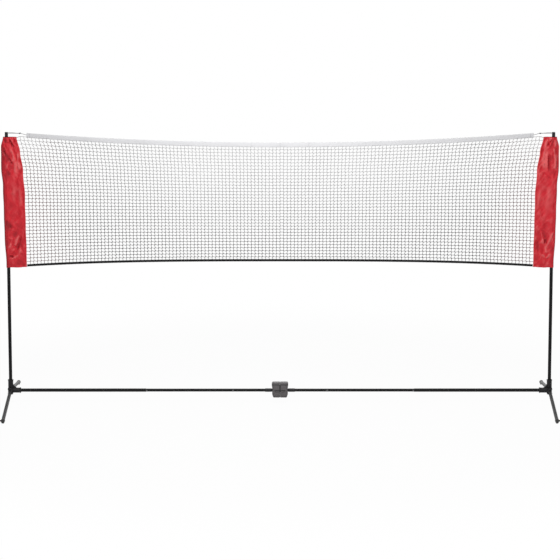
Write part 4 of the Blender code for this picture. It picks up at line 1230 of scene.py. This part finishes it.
def crease_relief(across, share, creases):
    """Pulled creases of unit height, each a ridge with a valley beside it, and the wider ridges alone for
    painted light and shade.
    """
    relief = np.zeros_like(across)
    crease_painted_light = np.zeros_like(across)
    down = share * SLEEVE_LENGTH
    for (a0, s0), (a1, s1), width, weight in creases:
        start = np.array((a0, s0 * SLEEVE_LENGTH))
        line = np.array((a1, s1 * SLEEVE_LENGTH)) - start
        long = np.hypot(*line)
        along = ((across - start[0]) * line[0] + (down - start[1]) * line[1]) / long**2
        aside = ((across - start[0]) * line[1] - (down - start[1]) * line[0]) / long
        aside = aside + CREASE_WANDER * np.sin(along * CREASE_WANDER_TURN + a0 * CREASE_WANDER_APART)
        held = weight * smooth(along / CREASE_FADE) * smooth((1 - along) / CREASE_FADE)
        valley = hump(aside - CREASE_VALLEY_ASIDE * width, width)
        relief += held * (hump(aside, width) - CREASE_VALLEY * valley)
        crease_painted_light += held * hump(aside, CREASE_PAINTED_LIGHT_WIDTH * width)
    return relief, crease_painted_light


def wrinkles(across, share, seed):
    """Irregular wrinkles of unit height: crisp waves, most of them upright or slanting, that bend others."""
    random = np.random.default_rng(seed)
    down = share * SLEEVE_LENGTH
    relief = np.zeros_like(across)
    bend = np.zeros_like(across)
    for pitch, height in WRINKLE_WAVES:
        for _ in range(WRINKLES_EACH):
            turn = random.uniform(-WRINKLE_TURN, WRINKLE_TURN)
            phase = random.uniform(0, 2 * math.pi)
            lean = math.cos(turn) * across + math.sin(turn) * down
            wave = np.sin(2 * math.pi * lean / pitch + phase + WRINKLE_BEND * bend)
            relief += height * (WRINKLE_TOP - WRINKLE_FALL * np.sqrt(wave**2 + WRINKLE_ROUNDING))
            bend += WRINKLE_BEND_EACH * wave
    return relief


def pleats(across, share):
    """Gathers of unit height that the sewn top leaves in the cloth, fading out downwards."""
    uneven = PLEAT_UNEVEN * np.sin(across * PLEAT_UNEVEN_RATE)
    gathers = np.sin(2 * math.pi * across / PLEAT_PITCH + uneven)
    return gathers * np.exp(-share * SLEEVE_LENGTH / PLEAT_REACH)


def low_pull(share):
    """How strongly the sewn lower edge pulls the cloth."""
    return np.exp(-(1 - share) * SLEEVE_LENGTH / LOW_PULL_REACH)


class Sleeve:
    """One cloth sleeve: a closed surface round its post, and the rows of stitches in it."""

    def __init__(self, side, sizes):
        self.side = side
        self.sign = SIDES[side]
        self.sizes = sizes
        self.hem_rows = (sizes.hem / SLEEVE_LENGTH, 1 - sizes.hem / SLEEVE_LENGTH)

    def slack_fold(self, across, reach, share):
        """How far the slack cloth swings in waves, between the post and the edges."""
        away = smooth((np.abs(across) - POST_RADIUS) / FOLD_START)
        held = 1 - (across / reach) ** FOLD_HOLD_POWER
        wave = np.sin(2 * math.pi * (FOLDS_DOWN * share + across / FOLD_PITCH))
        return self.sizes.fold * away * held * wave

    def stitch_dips(self, from_seam, share):
        """How deep the rows of stitches press the cloth in."""
        dips = SEAM_DIP * hump(from_seam - SEAM_IN, STITCH_DIP_WIDTH)
        for row in self.hem_rows:
            dips = dips + HEM_DIP * hump((share - row) * SLEEVE_LENGTH, STITCH_DIP_WIDTH)
        return dips

    def painted_light_and_shade(self, across, share, edge, outer, fold_painted_light):
        """Painted light on the cloth, a pale sheen above 0 and shade below, from its creases, wrinkles and
        pleats, its turn round the post and its top.
        """
        # Painted pale sheen over the whole cloth, and more of it beside the net at the top
        top = smooth(across / TOP_SHEEN_ACROSS) * smooth((TOP_SHEEN_END - share) / SHARE_FADE)
        painted_sheen = SLEEVE_SHEEN[self.side] + TOP_SHEEN * top
        # Painted shade where the cloth turns round the post
        turn_shade = TURN_SHADE[self.side] * hump(outer + across, TURN_SHADE_WIDTH) * smooth(share / TURN_SHADE_START)
        return fold_painted_light * smooth(edge / EDGE_PAINTED_LIGHT_LOST) + painted_sheen - turn_shade

    def surface(self, turn, share, lift=0.0):
        """Points and painted light at an angle round the sleeve, 0 being the inner edge, and a share of its
        length.
        """
        turn, share = np.broadcast_arrays(turn, share)
        outer, inner = sleeve_edges(share)
        cosine = np.cos(turn)
        facing = np.where(np.sin(turn) >= 0, -1.0, 1.0)
        reach = np.where(cosine > 0, inner, outer)
        across = cosine * reach
        edge = reach - np.abs(across)
        held = smooth(edge / SEAM_HOLD)

        # Creases and wrinkles swing the slack cloth, and stand out from the cloth that lies on the post
        relief, crease_painted_light = crease_relief(across, share, SLEEVE_CREASES[self.side])
        ruffled = wrinkles(across, share, WRINKLE_SEEDS[self.side])
        pulled = (self.sizes.crease * relief + self.sizes.wrinkle * ruffled) * held
        loose = smooth((np.abs(across) - LOOSE_START) / LOOSE_FULL)
        swing = self.slack_fold(across, reach, share) - loose * pulled
        own = wrinkles(across + OWN_WRINKLES_APART * facing, share, WRINKLE_SEEDS[self.side])
        own = OWN_WRINKLES * self.sizes.wrinkle * own
        gathers = pleats(across, share)
        puckers = LOW_PULL_DEPTH * np.sin(2 * math.pi * across / LOW_PULL_PITCH) * low_pull(share)
        relief = (1 - loose) * pulled + (own + PLEAT_DEPTH * gathers + puckers) * held
        relief -= self.stitch_dips(inner - across, share)

        # Each layer closes at the edges and stays outside the post
        depth = SLEEVE_EDGE_HALF + (SLEEVE_POST_HALF - SLEEVE_EDGE_HALF) * hump(across, SLEEVE_BULGE_WIDTH)
        closing = np.sqrt(np.maximum(1 - (across / reach) ** SLEEVE_EDGE_POWER, 0.0))
        round_post = np.sqrt(np.maximum((POST_RADIUS + POST_GAP) ** 2 - across**2, 0.0))
        over_post = np.abs(across) < POST_RADIUS + POST_GAP_REACH
        least = np.where(over_post, round_post, SLEEVE_LEAST_HALF * closing)
        layer = np.maximum(depth * closing + relief * np.sqrt(closing), least) + lift

        # The edges flutter a little, the top is gathered and the lower edge sags
        at_edge = np.abs(cosine) ** FLUTTER_EDGE_POWER * np.sign(cosine)
        x = POST_OUT - across - FLUTTER * np.sin(share * FLUTTER_RATE + FLUTTER_PHASE) * at_edge
        uneven = np.sin(across * LOW_SAG_RATE + LOW_SAG_PHASE) + across / LOW_SAG_LEAN
        sag = LOW_SAG * uneven * low_pull(share)
        rise = PLEAT_RISE * gathers * smooth(share / PLEAT_RISE_START)
        z = np.clip(SLEEVE_TOP - SLEEVE_LENGTH * share - rise + sag, SLEEVE_TOP - SLEEVE_LENGTH, SLEEVE_TOP)
        places = np.stack([self.sign * x, facing * layer + swing, z], -1)

        # Painted light and shade along the creases, wrinkles and pleats, less of it halfway down
        calm = smooth((share - CALM_START) / SHARE_FADE) * smooth((CALM_END - share) / SHARE_FADE)
        fold_painted_light = crease_painted_light + (WRINKLE_PAINTED_LIGHT - WRINKLE_PAINTED_LIGHT_LOST * calm) * ruffled + PLEAT_PAINTED_LIGHT * gathers
        return places, self.painted_light_and_shade(across, share, edge, outer, fold_painted_light)

    def cloth(self):
        """The sleeve's outer face and, a cloth's thickness inside it, its inner face."""
        sides = self.sizes.sides
        turn = 2 * math.pi * np.arange(sides)[None, :] / sides
        share = np.linspace(0, 1, self.sizes.rings + 1)[:, None]
        walls = [self.surface(turn, share, lift) for lift in (0.0, -SLEEVE_FABRIC)]
        places = np.concatenate([wall.reshape(-1, 3) for wall, _ in walls])
        painted_lights = np.concatenate([crest.ravel() for _, crest in walls])
        count = len(places) // 2
        outside = ring_faces(self.sizes.rings + 1, sides)
        around = np.arange(sides)
        after = (around + 1) % sides
        rims = []
        for start, order in ((0, 1), (count - sides, -1)):
            rim = [start + around, start + after, start + count + after, start + count + around]
            rims.append(np.stack(rim, 1)[:, ::order])
        faces = np.concatenate([outside, outside[:, ::-1] + count, *rims])
        cloth = new_piece(f"{self.side}_cloth_sleeve", places, turned_out(places, faces), sleeve_cloth())
        # The painted light and shade is kept at each point for the cloth's finish
        painted_layer = cloth.data.attributes.new("crest", "FLOAT", "POINT")
        painted_layer.data.foreach_set("value", np.clip(painted_lights, -1, 1).astype(np.float32))
        return cloth

    def seams(self):
        """Rows of stitches: both hems, and the seam beside the net, on the front and on the back."""
        shape = Shape()
        first, last, pitch, stitch = HEM_ROW
        for row in self.hem_rows:
            outer, inner = (float(edge) for edge in sleeve_edges(row))
            for facing in (1, -1):
                for across in np.arange(first, last, pitch):
                    if -outer + HEM_ROW_MARGINS[0] < across < inner - HEM_ROW_MARGINS[1]:
                        ends = (across, across + stitch)
                        turns = [math.acos(a / (inner if a > 0 else outer)) * facing for a in ends]
                        self.stitch(shape, turns, (row, row))
        first, last, pitch, stitch = SEAM_ROW
        for facing in (1, -1):
            for down in np.arange(first, last, pitch):
                shares = (down / SLEEVE_LENGTH, (down + stitch) / SLEEVE_LENGTH)
                turns = []
                for share in shares:
                    inner = float(sleeve_edges(share)[1])
                    turns.append(math.acos((inner - SEAM_IN) / inner) * facing)
                self.stitch(shape, turns, shares)
        return shape.piece(f"{self.side}_sleeve_stitches", sewing_thread(), "red_polyester")

    def stitch(self, shape, turns, shares):
        """One stitch on the cloth, its middle a little higher than its ends."""
        turn = np.array((turns[0], sum(turns) / 2, turns[1]))
        share = np.array((shares[0], sum(shares) / 2, shares[1]))
        line, _ = self.surface(turn, share)
        line[:, 1] += np.where(np.sin(turn) >= 0, -1, 1) * np.array((0.0, THREAD_RISE, 0.0))
        shape.add(round_tube(line, THREAD_RADIUS, 4), square_faces(len(line)))


class NET_OT_sleeves(Operator):
    """Sew a cloth sleeve round each post"""

    bl_idname = "badminton_net.sleeves"
    bl_label = "Sleeves"

    def execute(self, context):
        for side in SIDES:
            sewn = Sleeve(side, context.scene.net_sleeves)
            sleeve = sewn.cloth()
            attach(sleeve, f"{side}_post")
            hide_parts(f"{side}_sleeve")
            seams = sewn.seams()
            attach(seams, f"{side}_post")
        return {"FINISHED"}


# Edges that turn by less than this are shaded as round, once points this close are joined
ROUND_BELOW = math.radians(32)
JOIN_WITHIN = 0.00001


def rounded_shading():
    """A modifier's node group that welds a solid's faces and rounds its shading below a set angle."""
    name = "rounded_shading"
    if name in bpy.data.node_groups:
        return bpy.data.node_groups[name]
    tree = bpy.data.node_groups.new(name, "GeometryNodeTree")
    for way in ("INPUT", "OUTPUT"):
        tree.interface.new_socket("Geometry", in_out=way, socket_type="NodeSocketGeometry")
    made = Nodes(tree)
    solid = made.add("NodeGroupInput", {}).outputs[0]
    welded = made.add("GeometryNodeMergeByDistance", {"Geometry": solid, "Distance": JOIN_WITHIN}).outputs[0]
    faces = {"Geometry": welded, "Shade Smooth": True}
    rounded = made.add("GeometryNodeSetShadeSmooth", faces, domain="FACE").outputs[0]
    turn = made.add("GeometryNodeInputMeshEdgeAngle", {}).outputs["Unsigned Angle"]
    sharp = made.add("FunctionNodeCompare", {"A": turn, "B": ROUND_BELOW}, operation="GREATER_THAN")
    edges = {"Geometry": rounded, "Selection": sharp.outputs["Result"], "Shade Smooth": False}
    shaded = made.add("GeometryNodeSetShadeSmooth", edges, domain="EDGE").outputs[0]
    made.add("NodeGroupOutput", {0: shaded})
    return tree


def dress(node, finish):
    """Give a solid its finish, with its round faces shaded as round."""
    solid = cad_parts[node]
    solid.data.materials.clear()
    solid.data.materials.append(finish)
    normals = solid.data.attributes.get("custom_normal")
    if normals:
        solid.data.attributes.remove(normals)
    solid.modifiers.new("rounded_shading", "NODES").node_group = rounded_shading()


class NET_OT_frame_finishes(Operator):
    """Coat the tubes and feet, and finish the hub, corners, caps and clips"""

    bl_idname = "badminton_net.frame_finishes"
    bl_label = "Frame finishes"

    def execute(self, context):
        dress("hub_link", hub_plastic())
        for side in SIDES:
            for name in ("lower_post", "upper_post", "outer_base_tube", "inner_base_tube"):
                dress(f"{side}_{name}", powder_coat())
            dress(f"{side}_hub_half", hub_plastic())
            for name in ("corner_fitting", "stop_collar", "post_cap"):
                dress(f"{side}_{name}", fitting_plastic())
            for name in ("fold_pin", "post_ferrule", "lock_clip", "stow_clip"):
                dress(f"{side}_{name}", plated_steel())
            for foot in ("front", "rear"):
                dress(f"{side}_{foot}_leg_tube", powder_coat())
                dress(f"{side}_{foot}_foot_knuckle", fitting_plastic())
                dress(f"{side}_{foot}_foot_pin", plated_steel())
                dress(f"{side}_{foot}_rubber_tip", foot_rubber())
        return {"FINISHED"}


# The floor's paint, how far out from the middle its faint shadow starts and ends to fade, and how white it
# looks in the middle
FLOOR_PAINT = (0.86, 0.86, 0.86)
SHADOW_FADE = (1.8, 3.2)
FLOOR_WHITE = 0.965
WHITE = (1.0, 1.0, 1.0)

# Each lamp's place and width
KEY_LAMP = ((0.0, -2.7, 3.9), 1.4)
FRONT_PANEL = ((0.0, -7.0, 1.6), 5.0)
BACK_PANEL = ((0.0, 7.0, 1.6), 5.0)


class NET_OT_stage(Operator):
    """Lay the pale floor and set the soft lamps"""

    bl_idname = "badminton_net.stage"
    bl_label = "Stage"

    def execute(self, context):
        studio = context.scene.net_studio
        half = studio.floor / 2
        corners = [(-half, -half, 0.0), (half, -half, 0.0), (half, half, 0.0), (-half, half, 0.0)]
        mesh = bpy.data.meshes.new("floor")
        mesh.from_pydata(corners, [], [(0, 1, 2, 3)])
        mesh.materials.append(self.floor_paint())
        floor = bpy.data.objects.new("floor", mesh)
        context.scene.collection.objects.link(floor)
        self.world(context.scene, studio.ambient)
        self.lamp("key_lamp", *KEY_LAMP, studio.key)
        self.lamp("front_panel", *FRONT_PANEL, studio.fill)
        self.lamp("back_panel", *BACK_PANEL, studio.back)
        context.scene.view_settings.view_transform = "Standard"
        return {"FINISHED"}

    def floor_paint(self):
        """Pale paint that keeps a faint shadow and looks white to the camera and in reflections."""
        paint = bpy.data.materials.new("pale_floor")
        paint.use_nodes = True
        made = Nodes(paint.node_tree)
        made.nodes.clear()
        place = made.add("ShaderNodeTexCoord", {}).outputs["Object"]
        far = made.add("ShaderNodeVectorMath", {0: place}, operation="LENGTH").outputs["Value"]
        white = made.spread(far, *SHADOW_FADE, FLOOR_WHITE, 1.0, interpolation_type="SMOOTHSTEP")
        share = made.maths("MULTIPLY", made.seen_white(), white)
        matt = made.add("ShaderNodeBsdfDiffuse", {"Color": FLOOR_PAINT}).outputs[0]
        glow = made.add("ShaderNodeEmission", {"Color": WHITE, "Strength": 1.0}).outputs[0]
        blend = made.add("ShaderNodeMixShader", {"Fac": share, 1: matt, 2: glow}).outputs[0]
        made.add("ShaderNodeOutputMaterial", {"Surface": blend})
        return paint

    def world(self, scene, ambient):
        """White behind the object, and a plain level of light from all round."""
        scene.world = bpy.data.worlds.new("studio")
        scene.world.use_nodes = True
        made = Nodes(scene.world.node_tree)
        background = made.nodes["Background"].inputs
        made.put(WHITE, background["Color"])
        made.put(made.maths("MAXIMUM", made.seen_white(), ambient), background["Strength"])

    def lamp(self, name, place, size, power):
        """A large square lamp aimed at the middle of the net."""
        lamp = bpy.data.objects.new(name, bpy.data.lights.new(name, "AREA"))
        bpy.context.scene.collection.objects.link(lamp)
        lamp.data.shape = "SQUARE"
        lamp.data.size = size
        lamp.data.energy = power
        lamp.visible_camera = False
        lamp.location = place
        aim = Vector((0.0, 0.0, TOTAL_HEIGHT / 2)) - Vector(place)
        lamp.rotation_euler = aim.to_track_quat("-Z", "Y").to_euler()


class NET_PT_panel(Panel):
    """Makes the net piece by piece"""

    bl_label = "Badminton Net"
    bl_idname = "NET_PT_badminton_net"
    bl_space_type = "VIEW_3D"
    bl_region_type = "UI"
    bl_category = "Badminton Net"

    def draw(self, context):
        layout = self.layout
        for operator in OPERATORS:
            layout.operator(operator.bl_idname)
        for name, group in SETTINGS.items():
            box = layout.box()
            for field in group.__annotations__:
                box.prop(getattr(context.scene, name), field)


SETTINGS = {
    "net_studio": StudioSizes,
    "net_cords": CordSizes,
    "net_mesh": MeshSizes,
    "net_bands": BandSizes,
    "net_sleeves": SleeveSizes,
    "net_colours": NetColours,
}
OPERATORS = (
    NET_OT_camera,
    NET_OT_top_cords,
    NET_OT_mesh,
    NET_OT_bands,
    NET_OT_sleeves,
    NET_OT_frame_finishes,
    NET_OT_stage,
)


def register():
    for group in SETTINGS.values():
        bpy.utils.register_class(group)
    for name, group in SETTINGS.items():
        setattr(bpy.types.Scene, name, PointerProperty(type=group))
    for operator in OPERATORS:
        bpy.utils.register_class(operator)
    bpy.utils.register_class(NET_PT_panel)


def unregister():
    bpy.utils.unregister_class(NET_PT_panel)
    for operator in reversed(OPERATORS):
        bpy.utils.unregister_class(operator)
    for name, group in reversed(SETTINGS.items()):
        delattr(bpy.types.Scene, name)
        bpy.utils.unregister_class(group)


def main():
    """Make every piece in order."""
    register()
    for operator in OPERATORS:
        group, name = operator.bl_idname.split(".")
        getattr(getattr(bpy.ops, group), name)()


if __name__ == "__main__":
    main()
